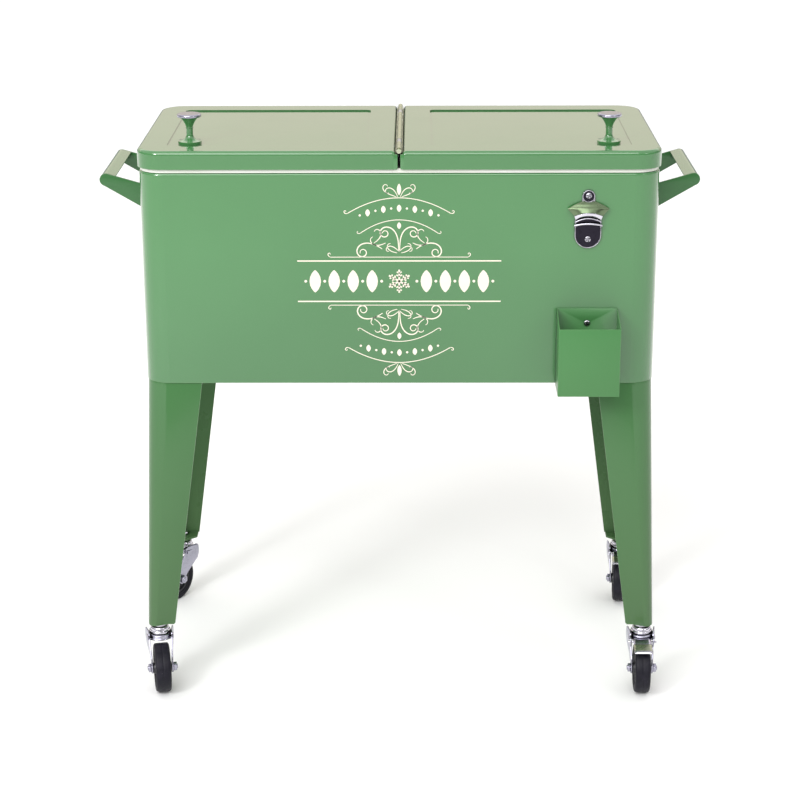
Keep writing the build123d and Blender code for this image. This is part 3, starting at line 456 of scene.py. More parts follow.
def grid_shell(bm, rows, columns, place, thickness):
    """Sheet over a grid: place(u, v) gives a point, and the back lies thickness along its normal."""
    front = [[Vector(place(c / columns, r / rows)) for c in range(columns + 1)] for r in range(rows + 1)]
    layers = []
    for sign in (0.0, 1.0):
        layer = []
        for r in range(rows + 1):
            line = []
            for c in range(columns + 1):
                across = front[r][min(c + 1, columns)] - front[r][max(c - 1, 0)]
                along = front[min(r + 1, rows)][c] - front[max(r - 1, 0)][c]
                normal = across.cross(along).normalized()
                line.append(bm.verts.new(front[r][c] + normal * thickness * sign))
            layer.append(line)
        layers.append(layer)
    top, back = layers
    for r in range(rows):
        for c in range(columns):
            bm.faces.new((top[r][c], top[r][c + 1], top[r + 1][c + 1], top[r + 1][c]))
            bm.faces.new((back[r][c], back[r + 1][c], back[r + 1][c + 1], back[r][c + 1]))
    for r in range(rows):
        for c in (0, columns):
            bm.faces.new((top[r][c], top[r + 1][c], back[r + 1][c], back[r][c]))
    for c in range(columns):
        for r in (0, rows):
            bm.faces.new((top[r][c], top[r][c + 1], back[r][c + 1], back[r][c]))


def prism(bm, outline, to_world, depth):
    """Extrude a flat outline of (a, b) pairs; to_world(a, b, d) gives the point at depth d."""
    low = [bm.verts.new(to_world(a, b, 0.0)) for a, b in outline]
    high = [bm.verts.new(to_world(a, b, depth)) for a, b in outline]
    bm.faces.new(low)
    bm.faces.new(high)
    count = len(outline)
    for index in range(count):
        after = (index + 1) % count
        bm.faces.new((low[index], low[after], high[after], high[index]))


def arc(cx, cy, radius, start, end, steps):
    """Points on an arc, in degrees, ends included."""
    turns = [math.radians(start + (end - start) * i / steps) for i in range(steps + 1)]
    return [(cx + radius * math.cos(t), cy + radius * math.sin(t)) for t in turns]


def between(keys, values, at):
    """Straight-line interpolation of values over rising keys."""
    for k0, k1, v0, v1 in zip(keys, keys[1:], values, values[1:]):
        if at <= k1:
            return v0 + (v1 - v0) * (at - k0) / (k1 - k0)
    return values[-1]


def flowing(keys, values, at):
    """Smooth curve through values over rising keys."""
    last = len(keys) - 1
    slopes = []
    for index in range(last + 1):
        low, high = max(index - 1, 0), min(index + 1, last)
        slopes.append((values[high] - values[low]) / (keys[high] - keys[low]))
    index = 0
    while index < last - 1 and at > keys[index + 1]:
        index += 1
    span = keys[index + 1] - keys[index]
    t = (at - keys[index]) / span
    start = (1 + 2 * t) * (1 - t) ** 2 * values[index] + t * (1 - t) ** 2 * span * slopes[index]
    finish = t * t * (3 - 2 * t) * values[index + 1] + t * t * (t - 1) * span * slopes[index + 1]
    return start + finish


# ---- bottle opener and screws -------------------------------------------------------------------
def opener():
    """Cast opener: screw lobe, bulged hood with two points, cap lip and a rimmed tongue."""
    low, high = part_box("bottle_opener")
    middle = (low[0] + high[0]) / 2

    def at(across, down, out):
        return Vector((middle + across * MM, high[1] - out * MM, high[2] - down * MM))

    lobe, tongue, tongue_centre, plate = 9.2, 19.3, 67.2, 2.6
    bm = bmesh.new()
    neck = [(lobe, 20), (lobe, 34), (18.0, 37), (tongue, 47)]
    outline = arc(0, lobe, lobe, 180, 360, 18) + neck + arc(0, tongue_centre, tongue, 0, 180, 28)
    outline += [(-x, down) for x, down in reversed(neck)]
    prism(bm, outline, at, plate)
    outer = [(tongue, 56)] + arc(0, tongue_centre, tongue, 0, 180, 28) + [(-tongue, 56)]
    inner = [(-tongue + 1.3, 56)] + arc(0, tongue_centre, tongue - 1.3, 180, 0, 28) + [(tongue - 1.3, 56)]
    prism(bm, outer + inner, lambda a, b, d: at(a, b, plate + d), 1.1)
    ring_out = arc(0, lobe, lobe, 0, 360, 30)[:-1]
    lobe_ring = [at(a, b, plate) for a, b in ring_out]
    lobe_in = [at(a * 0.86, lobe + (b - lobe) * 0.86, plate) for a, b in ring_out]
    raised = [point + Vector((0, -1.2 * MM, 0)) for point in lobe_ring]
    raised_in = [point + Vector((0, -1.2 * MM, 0)) for point in lobe_in]
    loops = [[bm.verts.new(p) for p in loop] for loop in (lobe_ring, raised, raised_in, lobe_in)]
    for first, second in zip(loops, loops[1:] + loops[:1]):
        for index in range(len(first)):
            after = (index + 1) % len(first)
            bm.faces.new((first[index], first[after], second[after], second[index]))
    body = bevel_mesh(mesh_from(bm, "opener_plate"), 0.45 * MM, 3)
    finish_piece("opener_plate", body, "screw_steel", "chest", "bottle_opener")

    keys = (0.0, 0.2, 0.4, 0.6, 0.75, 0.9, 1.0)
    drop = (16.5, 21.0, 27.0, 33.4, 37.9, 41.6, 43.6)
    reach = (2.6, 7.0, 10.6, 13.0, 14.4, 14.2, 12.6)
    width = (9.6, 20.6, 30.9, 24.5, 20.8, 19.4, 18.6)

    def hood(u, v):
        s = 2 * u - 1
        arch = between((0.0, 0.3, 0.75, 1.0), (0.0, 0.4, 6.2, 6.4), v) * (1 - s * s)
        out = plate + (flowing(keys, reach, v) - plate) * (1 - 0.6 * s * s)
        return at(s * between(keys, width, v), flowing(keys, drop, v) - arch, out)

    # the hood takes the green chrome copy: painted green reflection
    bands = (("opener_hood", 0.0, 0.74, "hood_green_reflection_chrome"), ("opener_brow", 0.75, 1.0, "chrome"))
    for name, first, last, slot in bands:
        bm = bmesh.new()
        grid_shell(bm, 20, 28, lambda u, v: hood(u, first + (last - first) * v), 2.0 * MM)
        hood_mesh = bevel_mesh(mesh_from(bm, name), 0.4 * MM, 3, 40.0)
        finish_piece(name, hood_mesh, slot, "chest", sharp=50.0)

    bm = bmesh.new()
    # two arched rolls: distance down and out, half thicknesses, half width, arch
    rolls = ((52.0, 6.4, 1.9, 2.6, 20.4, 2.6), (46.2, 8.0, 1.1, 1.4, 18.6, 5.2))
    for down, out, tall, deep, half, bulge in rolls:
        rings = []
        for step in range(25):
            s = step / 12 - 1
            middle_down = down - bulge * (1 - s * s)
            ring = []
            for turn in range(16):
                t = math.tau * turn / 16
                point = at(half * s, middle_down + tall * math.cos(t), out + deep * math.sin(t))
                ring.append(bm.verts.new(point))
            rings.append(ring)
        for first, second in zip(rings, rings[1:]):
            for turn in range(16):
                after = (turn + 1) % 16
                bm.faces.new((first[turn], first[after], second[after], second[turn]))
        bm.faces.new(rings[0])
        bm.faces.new(rings[-1])
        for end in (-half + 0.6, half - 1.6):
            prism(bm, [(end, down - 1), (end + 1, down - 1), (end + 1, down + 1), (end, down + 1)], at, out)
    finish_piece("opener_lip", mesh_from(bm, "opener_lip"), "chrome", "chest")

    # the tongue and lobe faces take the near-black chrome copy: painted dark reflection
    bm = bmesh.new()
    face = [(16.8, 38), (tongue - 1.5, 48)] + arc(0, tongue_centre, tongue - 1.5, 0, 180, 28)
    face += [(-tongue + 1.5, 48), (-16.8, 38)]
    prism(bm, face, lambda a, b, d: at(a, b, plate + d), 0.25)
    prism(bm, arc(0, lobe, lobe * 0.86, 0, 360, 28)[:-1], lambda a, b, d: at(a, b, plate - 0.1 + d), 0.3)
    finish_piece("opener_tongue_face", mesh_from(bm, "opener_tongue_face"), "dark_reflection_chrome", "chest")


def facing(centre, out, spin=0.0):
    """Matrix at centre with Z along out, turned by spin about it."""
    z_axis = Vector(out)
    x_axis = Matrix.Rotation(spin, 3, z_axis) @ z_axis.cross(Vector((0, 0, 1)))
    turn = Matrix((x_axis, z_axis.cross(x_axis), z_axis)).transposed().to_4x4()
    return Matrix.Translation(centre) @ turn


def screw_heads(name, centres, outward, *nodes):
    """Round screw heads with a cut cross, each facing along its own outward unit vector."""
    bm = bmesh.new()
    for centre, out in zip(centres, outward):
        base = facing(centre, out)
        r, h = HEAD_RADIUS, HEAD_HEIGHT
        dome = [(0, -0.4 * MM), (r, -0.4 * MM), (r, 0.25 * h)]
        for degrees in range(15, 86, 10):
            t = math.radians(degrees)
            dome.append((r * math.cos(t), h * (0.25 + 0.75 * math.sin(t))))
        dome.append((0, h))
        lathe(bm, dome, 28, base)
    mesh = mesh_from(bm, name)
    cutter = bmesh.new()
    slot_size = Matrix.Diagonal((HEAD_RADIUS * 1.45, HEAD_RADIUS * 0.36, HEAD_HEIGHT * 1.5, 1))
    for index, (centre, out) in enumerate(zip(centres, outward)):
        top = Vector(centre) + Vector(out) * HEAD_HEIGHT
        first_spin = FIRST_SLOT_TURN + index * SLOT_TURN_STEP
        for spin in (first_spin, first_spin + math.pi / 2):
            bmesh.ops.create_cube(cutter, size=1.0, matrix=facing(top, out, spin) @ slot_size)
    cut_mesh = mesh_from(cutter, name + "_slots")
    holder = bpy.data.objects.new("head_holder", mesh)
    knife = bpy.data.objects.new("slot_holder", cut_mesh)
    for thing in (holder, knife):
        bpy.context.collection.objects.link(thing)
    boolean = holder.modifiers.new("slots", "BOOLEAN")
    boolean.object = knife
    boolean.operation = "DIFFERENCE"
    boolean.solver = "EXACT"
    boolean.use_self = True
    graph = bpy.context.evaluated_depsgraph_get()
    made = bpy.data.meshes.new_from_object(holder.evaluated_get(graph))
    bpy.data.objects.remove(holder)
    bpy.data.objects.remove(knife)
    finish_piece(name, made, "screw_steel", "chest", *nodes)


# ---- casters ------------------------------------------------------------------------------------
JOINTS = {joint["name"]: joint for joint in frame["record"]["behaviour"]["joints"]}


def caster_place(corner):
    """Matrix from caster axes (stem on Z, wheel towards -Y) to the row frame, with trail and radius."""
    swivel = Vector(JOINTS[corner + "_swivel"]["pos_m"])
    roll = JOINTS[corner + "_roll"]
    wheel = Vector(roll["pos_m"])
    yaw = math.atan2(roll["axis"][1], roll["axis"][0])
    place = Matrix.Translation((swivel.x, swivel.y, 0)) @ Matrix.Rotation(yaw, 4, "Z")
    return place, (wheel.xy - swivel.xy).length, wheel.z


def across(place, trail, height):
    """Matrix whose Z axis is the wheel's axle."""
    return place @ Matrix.Translation((0, -trail, height)) @ Matrix.Rotation(math.pi / 2, 4, "Y")


def mirrored(half):
    """Add the far half of a symmetric (radius, height) profile."""
    return half + [(r, -h) for r, h in reversed(half) if h != 0]


def caster_tyre(corner):
    """Moulded tyre: bead step, rounded shoulders and a shallow groove round the tread."""
    place, trail, radius = caster_place(corner)
    core = 27.0 * MM
    half = [(core, -9.2 * MM), (core + 1.4 * MM, -10.3 * MM), (core + 4.2 * MM, -10.7 * MM)]
    half += [(core + 4.8 * MM, -11.6 * MM), (core + 7.2 * MM, -11.9 * MM)]
    for t in (0.2, 0.55, 0.9, 1.25):
        half.append((radius - 3.6 * MM + 3.6 * MM * math.sin(t), -8.3 * MM - 3.5 * MM * math.cos(t)))
    half += [(radius - 0.05 * MM, -6.4 * MM), (radius, -3.0 * MM)]
    half += [(radius, -0.5 * MM), (radius - 0.25 * MM, 0.0)]
    bm = bmesh.new()
    turned_ring(bm, mirrored(half), 96, across(place, trail, radius))
    mesh = mesh_from(bm, corner + "_tyre")
    body = corner + "_wheel"
    finish_piece(corner + "_tyre_tread", mesh, "black_rubber", body, corner + "_tyre", sharp=28.0)


def caster_core(corner):
    """Dished nylon centre with ribs between hub and rim."""
    place, trail, height = caster_place(corner)
    axle = across(place, trail, height)
    hub = [(4.06, -14.1), (8.2, -14.1), (9.0, -13.3), (9.6, -6.0), (11.0, -4.4)]
    web = [(21.5, -3.4), (23.6, -5.0), (24.2, -8.6), (26.9, -9.0), (26.9, 0)]
    bm = bmesh.new()
    turned_ring(bm, mirrored(scaled(hub + web)), 72, axle)
    for rib in range(6):
        spin = Matrix.Rotation(math.tau * rib / 6, 4, "Z")
        for side in (-1, 1):
            corners = [(9.0, 3.0), (24.0, 3.0), (24.0, 7.4), (9.2, 10.4)]
            prism(bm, [(r * MM, side * h * MM) for r, h in corners],
                  lambda a, b, d: axle @ spin @ Vector((a, d - 0.9 * MM, b)), 1.8 * MM)
    mesh = bevel_mesh(mesh_from(bm, corner + "_core"), 0.3 * MM, 2, 35.0)
    finish_piece(corner + "_wheel_centre", mesh, "black_plastic", corner + "_wheel", corner + "_wheel_core")


def caster_fork(corner):
    """Pressed fork: dished crown with the lower race and two shouldered wings down to the axle."""
    place = caster_place(corner)[0]
    bm = bmesh.new()
    dish = [(5.06, 79.0), (18.9, 79.0), (20.3, 79.6), (20.7, 80.8), (20.0, 82.0), (19.2, 82.5),
            (19.0, 83.1), (19.3, 84.6), (18.8, 86.0), (17.2, 87.2), (15.2, 87.9), (5.06, 87.9)]
    turned_ring(bm, scaled(dish), 64, place)
    crown = mesh_from(bm, corner + "_crown")
    finish_piece(corner + "_fork_crown", crown, "shaded_chrome", corner + "_caster", sharp=45.0)
    # down each wing: height, front and back edge, and how far out each edge stands
    keys = (0.0, 0.04, 0.1, 0.2, 0.32, 0.45, 0.62, 0.76, 0.86, 0.93, 0.97, 1.0)
    heights = (91.5, 91.0, 88.8, 83.0, 76.0, 67.0, 54.0, 43.0, 36.0, 31.6, 29.6, 28.8)
    fronts = (-10.0, -12.6, -15.4, -17.4, -21.5, -27.4, -33.6, -36.4, -35.6, -33.2, -30.6, -28.0)
    backs = (8.0, 10.6, 12.8, 13.6, 13.4, 10.8, -3.0, -14.6, -18.2, -21.2, -23.6, -26.0)
    front_x = (16.6, 16.6, 16.6, 16.5, 16.2, 15.6, 14.9, 14.6, 14.55, 14.55, 14.55, 14.55)
    back_x = (19.0, 19.6, 20.2, 20.4, 20.3, 19.4, 16.4, 14.9, 14.6, 14.55, 14.55, 14.55)
    braked = corner + "_brake" in JOINTS
    bm = bmesh.new()
    for side in (-1, 1):
        def wing(u, v):
            mark = u if side > 0 else 1 - u
            front, back = between(keys, fronts, v), between(keys, backs, v)
            if braked and 0.14 < v < 0.36:
                front = min(front, -28.4 + 26 * abs(v - 0.22))
            turn = mark * mark * (3 - 2 * mark)
            x = side * (between(keys, front_x, v) * (1 - turn) + between(keys, back_x, v) * turn)
            y = front + (back - front) * mark
            return place @ Vector((x * MM, y * MM, between(keys, heights, v) * MM))
        grid_shell(bm, 40, 12, wing, -2.0 * MM)
    shoulder = [(12.0, 82.2), (17.0, 82.2), (18.6, 83.4), (19.2, 85.6)]
    shoulder += [(20.8, 85.0), (20.4, 80.4), (18.4, 79.2), (12.0, 79.2)]
    for side in (-1, 1):
        outline = scaled([(side * x, z) for x, z in shoulder])
        prism(bm, outline, lambda a, b, d: place @ Vector((a, d - 14.0 * MM, b)), 25.5 * MM)
    mesh = bevel_mesh(mesh_from(bm, corner + "_fork"), 0.5 * MM, 3, 40.0)
    body = corner + "_caster"
    finish_piece(corner + "_fork_wings", mesh, "shaded_chrome", body, corner + "_fork", sharp=45.0)


def hexagon(radius):
    """Corners of a hexagon as pairs."""
    turns = [math.radians(60 * corner) for corner in range(6)]
    return [(radius * math.cos(t), radius * math.sin(t)) for t in turns]


def caster_axle(corner):
    """Bolt with a chamfered hexagon head, a nut and a proud thread end."""
    place, trail, axle_z = caster_place(corner)
    axle = across(place, trail, axle_z)
    bm = bmesh.new()
    face = 16.5
    for start, length in ((-face - 5.0, 5.0), (face, 6.0)):
        prism(bm, hexagon(7.4 * MM), lambda a, b, d: axle @ Vector((a, b, start * MM + d)), length * MM)
    for start in (-face - 0.7, face - 0.3):
        washer = [(0, start), (8.6, start), (8.6, start + 1.0), (0, start + 1.0)]
        lathe(bm, scaled(washer), 32, axle)
    shank = [(0, -23.0), (3.2, -23.0), (4.0, -22.2), (4.0, 23.0), (3.3, 24.0), (0, 24.0)]
    lathe(bm, scaled(shank), 32, axle)
    mesh = bevel_mesh(mesh_from(bm, corner + "_axle"), 0.5 * MM, 2, 35.0)
    finish_piece(corner + "_axle_hardware", mesh, "shaded_chrome", corner + "_caster", corner + "_axle_bolt")


def caster_top(corner):
    """Fixed upper race: rolled rim, drawn cup, washer, stem and lock nut."""
    place = caster_place(corner)[0]
    bm = bmesh.new()
    cup = [(0, 88.5), (15.9, 88.5), (16.7, 89.0), (16.8, 90.4), (16.3, 91.6), (15.2, 92.1), (14.8, 93.0),
           (14.7, 95.4), (13.9, 97.4), (12.4, 98.5), (10.4, 98.6), (10.0, 99.0)]
    stem = [(10.0, 104.6), (5.0, 104.9), (5.0, 116.2), (4.3, 117.0), (0, 117.0)]
    lathe(bm, scaled(cup + stem), 64, place)
    prism(bm, hexagon(9.2 * MM), lambda a, b, d: place @ Vector((a, b, 108.0 * MM + d)), 6.0 * MM)
    mesh = bevel_mesh(mesh_from(bm, corner + "_race"), 0.4 * MM, 2, 35.0)
    finish_piece(corner + "_upper_race", mesh, "chrome", "chest", corner + "_caster_race", sharp=40.0)


def brake_plate(corner):
    """Foot plate with a curled lip and turned-down sides on a cross pin, and a shoe beneath."""
    place = caster_place(corner)[0]
    keys = (0.0, 0.1, 0.45, 0.8, 0.93, 1.0)
    ys = (-22.8, -25.5, -39.0, -53.0, -56.6, -57.9)
    zs = (83.6, 84.3, 82.0, 78.8, 77.6, 75.6)
    half = 13.4

    def plate(u, v):
        s = 2 * u - 1
        sag = 1.6 * max(0.0, abs(s) - 0.86) / 0.14 if v < 0.95 else 0.0
        narrow = 1.0 - 0.16 * max(0.0, 0.5 - v)
        height = between(keys, zs, v) - sag
        return place @ Vector((s * half * narrow * MM, between(keys, ys, v) * MM, height * MM))

    # the plate takes the olive chrome copy, a painted green reflection; the heel takes the darker copy,
    # painted shade
    bands = (("_brake_heel", 0.0, 0.44, "shaded_chrome"), ("_brake_plate", 0.45, 0.84, "pedal_olive_reflection_chrome"),
             ("_brake_lip", 0.85, 1.0, "screw_steel"))
    for name, first, last, slot in bands:
        bm = bmesh.new()
        grid_shell(bm, 16, 20, lambda u, v: plate(u, first + (last - first) * v), -1.6 * MM)
        mesh = bevel_mesh(mesh_from(bm, corner + name), 0.4 * MM, 2, 35.0)
        finish_piece(corner + name, mesh, slot, corner + "_pedal", sharp=40.0)
    bm = bmesh.new()
    shoe = [(-23.4, 81.6), (-50.0, 78.6), (-50.0, 77.0), (-34.0, 77.8), (-23.4, 79.5)]
    prism(bm, scaled(shoe), lambda a, b, d: place @ Vector((d - 10.0 * MM, a, b)), 20.0 * MM)
    pin = place @ Matrix.Translation((0, -25.0 * MM, 81.0 * MM)) @ Matrix.Rotation(math.pi / 2, 4, "Y")
    lathe(bm, scaled([(0, -21.8), (1.8, -21.8), (1.8, 21.8), (0, 21.8)]), 24, pin)
    mesh = bevel_mesh(mesh_from(bm, corner + "_shoe"), 0.3 * MM, 2, 35.0)
    body = corner + "_pedal"
    finish_piece(corner + "_brake_shoe", mesh, "chrome", body, corner + "_brake_pedal", sharp=40.0)


def build_casters():
    for corner in ("front_left", "front_right", "rear_left", "rear_right"):
        caster_tyre(corner)
        caster_core(corner)
        caster_fork(corner)
        caster_axle(corner)
        caster_top(corner)
        if corner + "_brake" in JOINTS:
            brake_plate(corner)


# ---- printed ornament on the front panel ---------------------------------------------------------
def swirl(x, z, heading, length, bend, curl, power=2.0, steps=44):
    """Points along a stem whose curvature grows from bend to curl."""
    points = [(x, z)]
    angle = math.radians(heading)
    step = length / steps
    for index in range(steps):
        angle += step * (bend + (curl - bend) * ((index + 0.5) / steps) ** power)
        x += step * math.cos(angle)
        z += step * math.sin(angle)
        points.append((x, z))
    return points


def bow(half, ends, top, steps=36):
    """Points on a shallow parabola, ends included."""
    marks = [2 * i / steps - 1 for i in range(steps + 1)]
    return [(half * t, ends + (top - ends) * (1 - t * t)) for t in marks]


def ribbon(bm, points, width, to_world, tapered=True):
    """Raised printed stroke along points; tapered strokes swell in the middle."""
    count = len(points)
    rows = []
    for index, (x, z) in enumerate(points):
        before, after = points[max(index - 1, 0)], points[min(index + 1, count - 1)]
        dx, dz = after[0] - before[0], after[1] - before[1]
        length = math.hypot(dx, dz) or 1.0
        nx, nz = -dz / length, dx / length
        swell = 0.45 + 0.75 * math.sin(math.pi * (0.12 + 0.8 * index / count)) if tapered else 1.0
        half = width * swell / 2
        corners = ((x + nx * half, z + nz * half), (x - nx * half, z - nz * half))
        rows.append([bm.verts.new(to_world(a, b, d)) for a, b in corners for d in (0.0, PRINT_RELIEF)])
    for first, second in zip(rows, rows[1:]):
        bm.faces.new((first[1], first[3], second[3], second[1]))
        bm.faces.new((first[0], first[1], second[1], second[0]))
        bm.faces.new((first[3], first[2], second[2], second[3]))
        bm.faces.new((first[0], second[0], second[2], first[2]))
    for row in (rows[0], rows[-1]):
        bm.faces.new((row[0], row[1], row[3], row[2]))


def lozenge(bm, x, z, half, tall, to_world):
    """Pointed leaf with curved sides."""
    steps = 8
    turns = [math.pi * i / steps for i in range(steps)]
    right = [(x + half * math.sin(t) ** 1.6, z + tall * math.cos(t)) for t in turns]
    left = [(x - half * math.sin(t) ** 1.6, z - tall * math.cos(t)) for t in turns]
    prism(bm, right + left, to_world, PRINT_RELIEF)


PRINT_RELIEF = 0.25
ORNAMENT_HEIGHT = 157.5 * MM
# x, z, heading, length, first and last curvature, growth; then the stroke's width
SCROLLS = (
    ((101, 36.6, 20, 12, 0.1, 0.9, 1.5), 1.0),
    ((75, 102.6, -25, 12, 0.15, 0.9, 1.5), 1.0),
    ((56, 73.3, -35, 9, 0.1, 0.9, 1.5), 0.9),
    ((25, 49, 36, 84, -0.012, -0.25, 1.6), 1.5),
    ((20, 58, -30, 33, 0.03, 0.24, 2.0), 1.2),
    ((37, 58, 150, 33, -0.03, -0.30, 2.0), 1.2),
    ((0.8, 45, 90, 90, -0.002, -0.27, 1.7), 1.5),
    ((0, 45, 45, 30, -0.01, -0.40, 2.0), 1.1),
    ((3, 43, 10, 26, 0.02, 0.36, 2.2), 1.1),
    ((2, 127, 70, 34, -0.02, -0.40, 2.0), 1.1),
    ((4, 127, 20, 36, 0.0, 0.42, 2.6), 1.1),
)


def frost_star(bm, at):
    """Six barbed spokes."""
    for spoke in range(6):
        angle = math.radians(60 * spoke + 30)
        out = (math.cos(angle), math.sin(angle))
        ribbon(bm, [(0, 0), (17.5 * out[0], 17.5 * out[1])], 2.6, at, False)
        for reach, arm in ((7.0, 5.0), (12.0, 4.2)):
            foot = (reach * out[0], reach * out[1])
            for side in (-1, 1):
                tip = angle + side * math.radians(58)
                end = (foot[0] + arm * math.cos(tip), foot[1] + arm * math.sin(tip))
                ribbon(bm, [foot, end], 2.0, at, False)


def ornament():
    """Scrolls, rules, arcs and a frost star between plain leaves, mirrored both ways."""
    low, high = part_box("tub_shell")
    middle_x = (low[0] + high[0]) / 2
    middle_z = low[2] + ORNAMENT_HEIGHT
    bm = bmesh.new()

    def upright(x, z, d):
        return Vector((middle_x + x * MM, low[1] - d * MM, middle_z + z * MM))

    def upside_down(x, z, d):
        return upright(x, -z, d)

    for at in (upright, upside_down):
        ribbon(bm, [(-150, 30.8), (150, 30.8)], 1.9, at, False)
        ribbon(bm, [(-101, 36.6), (101, 36.6)], 1.0, at, False)
        ribbon(bm, bow(75, 102.6, 125.5), 1.2, at, False)
        ribbon(bm, bow(56, 73.3, 92.6), 1.1, at, False)
        for numbers, width in SCROLLS:
            points = swirl(*numbers)
            ribbon(bm, points, width, at)
            ribbon(bm, [(-x, z) for x, z in points], width, at)
        lozenge(bm, 0, 138, 3.2, 8.5, at)
        lozenge(bm, 0, 84, 3, 5, at)
        for index in range(-5, 6):
            x = index * 11.5
            z = 96 + 14 * (1 - (x / 66) ** 2)
            small = index % 2
            lozenge(bm, x, z, 1.8 if small else 3.4, 1.8 if small else 5.4, at)
    frost_star(bm, upright)
    for side in (-1, 1):
        for x in (40, 68, 96, 124):
            lozenge(bm, side * x, 0, 8.5, 17.0, upright)
            lozenge(bm, side * (x - 14), 0, 2.2, 2.2, upright)
        lozenge(bm, side * 138, 0, 2.2, 2.2, upright)
    finish_piece("front_ornament", mesh_from(bm, "front_ornament"), "cream_paint", "chest")


# name, distance from the middle plane, start and depth behind the lid's front, look
# the second layer is a black sheet that paints the shade in the slit
END_LAYERS = (("_cheek", 2.1, 0.0, 3.6, "green_paint"), ("_slit_shade_sheet", 0.3, 3.7, 0.8, "slit_shade_black"))


def lid_end_cheeks():
    """Turned-in front corners of the lids below the pin, each with a black sheet behind it that paints the
    shade in the slit.
    """
    pin_low, pin_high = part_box("hinge_pin")
    top = pin_low[2] - 1.4 * MM
    for side, node, body in ((-1, "left_lid_skin", "left_lid"), (1, "right_lid_skin", "right_lid")):
        low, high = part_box(node)
        inner = high[0] if side < 0 else low[0]
        foot = low[2] + 0.3 * MM
        front = low[1] + 0.25 * MM
        back = inner + side * 6.0 * MM
        for name, reach, start, deep, slot in END_LAYERS:
            tip = side * reach * MM
            bm = bmesh.new()
            outline = [(tip, foot + 0.8 * MM), (tip + side * 0.8 * MM, foot)]
            outline += [(back, foot), (back, top), (tip, top)]
            prism(bm, outline, lambda a, b, d: Vector((a, front + start * MM + d, b)), deep * MM)
            mesh = bevel_mesh(mesh_from(bm, body + name), 0.25 * MM, 2, 35.0)
            finish_piece(body + name, mesh, slot, body)


def loose_boxes(node):
    """Low and high corner of each separate lump of a CAD node's mesh."""
    bm = bmesh.new()
    bm.from_mesh(frame["nodes"][node].data)
    bmesh.ops.remove_doubles(bm, verts=bm.verts, dist=SAME_POINT)
    todo = set(bm.verts)
    boxes = []
    while todo:
        stack = [todo.pop()]
        lump = []
        while stack:
            vert = stack.pop()
            lump.append(vert.co.copy())
            for edge in vert.link_edges:
                other = edge.other_vert(vert)
                if other in todo:
                    todo.remove(other)
                    stack.append(other)
        lows = Vector([min(p[i] for p in lump) for i in range(3)])
        highs = Vector([max(p[i] for p in lump) for i in range(3)])
        boxes.append((lows, highs))
    bm.free()
    return sorted(boxes, key=lambda box: tuple(box[0]))


def front_screw_heads():
    """Heads for the opener's and the cap box's screws, facing forwards."""
    centres = []
    for low, high in loose_boxes("front_screws"):
        centres.append(((low.x + high.x) / 2, low.y + HEAD_HEIGHT, (low.z + high.z) / 2))
    screw_heads("front_screw_heads", centres, [(0, -1, 0)] * len(centres), "front_screws")


def handle_screw_heads():
    """Heads for the handles' screws, facing away from the tub's ends."""
    centres, outward = [], []
    for low, high in loose_boxes("handle_screws"):
        side = 1 if low.x > 0 else -1
        outer = high.x if side > 0 else low.x
        centres.append((outer - side * HEAD_HEIGHT, (low.y + high.y) / 2, (low.z + high.z) / 2))
        outward.append((side, 0, 0))
    screw_heads("handle_screw_heads", centres, outward, "handle_screws")


def soften_sheet_metal():
    """Rounded edges for the legs, handle arms and cap box."""
    # the legs and arms take darker copies of the green, darkest on the rear legs: painted shade
    for side in ("left", "right"):
        soft_copy("front_" + side + "_leg", 0.6 * MM, "leg_shade_paint", "chest")
        soft_copy("rear_" + side + "_leg", 0.6 * MM, "rear_leg_shade_paint", "chest")
        soft_copy(side + "_handle_arms", 0.8 * MM, "arm_shade_paint", "chest")
    soft_copy("cap_catcher", 0.4 * MM, "box_paint", "chest")


# ---- camera, light and floor -------------------------------------------------------------------
LENS = 94.03
EYE = (0.0230, -3.1233, 1.4468)
LOOK_DOWN = 18.161
YAW = 0.52
ROLL = -0.179
FLOOR_HALF_WIDTH = 14.0


def look_from_photo_angle():
    """Long-lens camera a little above the lid, looking slightly down at the front."""
    data = bpy.data.cameras.new("camera")
    data.sensor_width = 36.0
    data.lens = LENS
    camera = bpy.data.objects.new("camera", data)
    camera.location = EYE
    tilt = Matrix.Rotation(math.radians(90.0 - LOOK_DOWN), 4, "X")
    turn = Matrix.Rotation(math.radians(YAW), 4, "Z") @ tilt
    camera.rotation_euler = (turn @ Matrix.Rotation(math.radians(ROLL), 4, "Z")).to_euler()
    bpy.context.collection.objects.link(camera)
    bpy.context.scene.camera = camera


def area_light(name, place, aim, size, power, color=(1, 1, 1)):
    data = bpy.data.lights.new(name, "AREA")
    data.shape = "RECTANGLE"
    data.size, data.size_y = size
    data.energy = power
    data.color = color
    light = bpy.data.objects.new(name, data)
    light.location = place
    light.rotation_euler = (Vector(aim) - Vector(place)).to_track_quat("-Z", "Y").to_euler()
    bpy.context.collection.objects.link(light)


def sun(name, direction, strength, softness):
    data = bpy.data.lights.new(name, "SUN")
    data.energy = strength
    data.angle = math.radians(softness)
    light = bpy.data.objects.new(name, data)
    light.rotation_euler = Vector(direction).to_track_quat("-Z", "Y").to_euler()
    bpy.context.collection.objects.link(light)


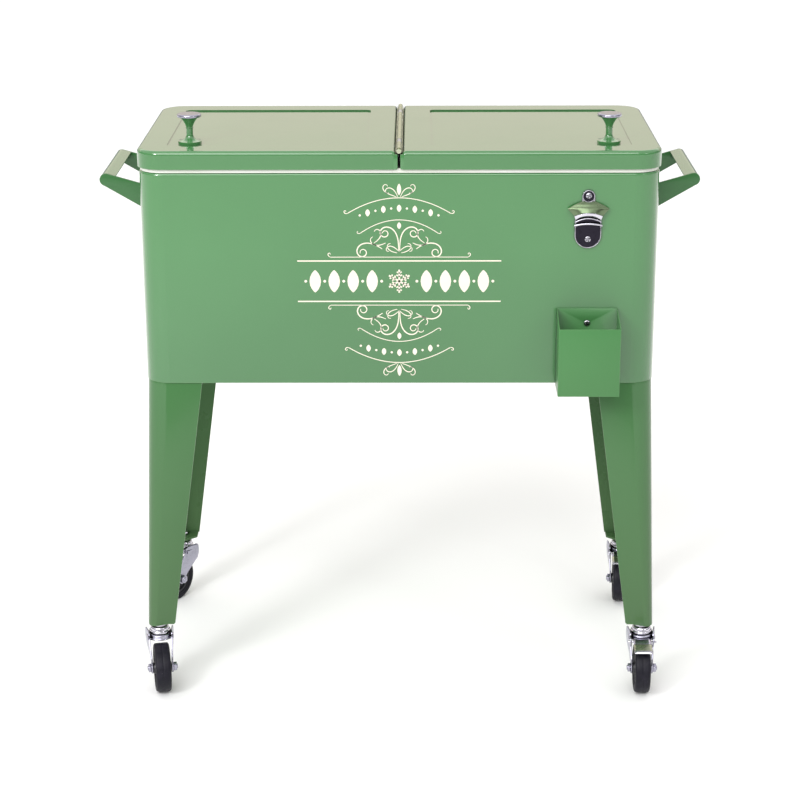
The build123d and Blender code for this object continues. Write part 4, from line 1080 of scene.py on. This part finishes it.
def studio():
    """Wide white floor, pale surroundings and soft lights."""
    floor_mesh = bpy.data.meshes.new("floor")
    half = FLOOR_HALF_WIDTH
    corners = [(-half, -half, 0), (half, -half, 0), (half, half, 0), (-half, half, 0)]
    floor_mesh.from_pydata(corners, [], [(0, 1, 2, 3)])
    floor = bpy.data.objects.new("floor", floor_mesh)
    bpy.context.collection.objects.link(floor)
    s = Shader("floor_white", (0.9, 0.9, 0.9), 0.8)
    s.color(s.mix(s.noise(0.7, 2.0), (0.90, 0.90, 0.90), (0.94, 0.94, 0.94)))
    floor_mesh.materials.append(s.material)
    world = bpy.data.worlds.new("studio")
    bpy.context.scene.world = world
    world.use_nodes = True
    nodes, links = world.node_tree.nodes, world.node_tree.links
    sky = nodes["Background"]
    sky.inputs["Strength"].default_value = 1.0
    where = nodes.new("ShaderNodeTexCoord")
    split = nodes.new("ShaderNodeSeparateXYZ")
    ramp = nodes.new("ShaderNodeValToRGB")
    links.new(where.outputs["Generated"], split.inputs["Vector"])
    links.new(split.outputs["Z"], ramp.inputs["Fac"])
    links.new(ramp.outputs["Color"], sky.inputs["Color"])
    stops = ramp.color_ramp.elements
    stops[0].position, stops[0].color = 0.0, (0.3, 0.3, 0.3, 1)
    stops[1].position, stops[1].color = 0.62, (1.0, 1.0, 1.0, 1)
    # grey up to some 20 degrees above the horizon, pale above that, so that the front reflects less
    for position, value in ((0.10, 0.22), (0.34, 0.26), (0.42, 0.95)):
        stop = stops.new(position)
        stop.color = (value, value, value, 1)
    sun("key", (0.5, 1.5, -1.25), 1.6, 50.0)
    area_light("back_card", (0.0, 3.2, 2.2), (0, 0, 1.0), (13.0, 2.2), 56, (1.0, 0.88, 0.70))
    area_light("left_spot", (-1.7, -2.3, 2.0), (-0.2, 0, 0.7), (0.5, 0.5), 26)
    area_light("right_spot", (2.4, -2.2, 2.2), (0.2, 0, 0.7), (0.4, 0.4), 6)
    bpy.context.scene.view_settings.view_transform = "Standard"


look_from_photo_angle()
studio()
dress_cad_nodes()
opener()
front_screw_heads()
handle_screw_heads()
build_casters()
soften_sheet_metal()
lid_end_cheeks()
ornament()
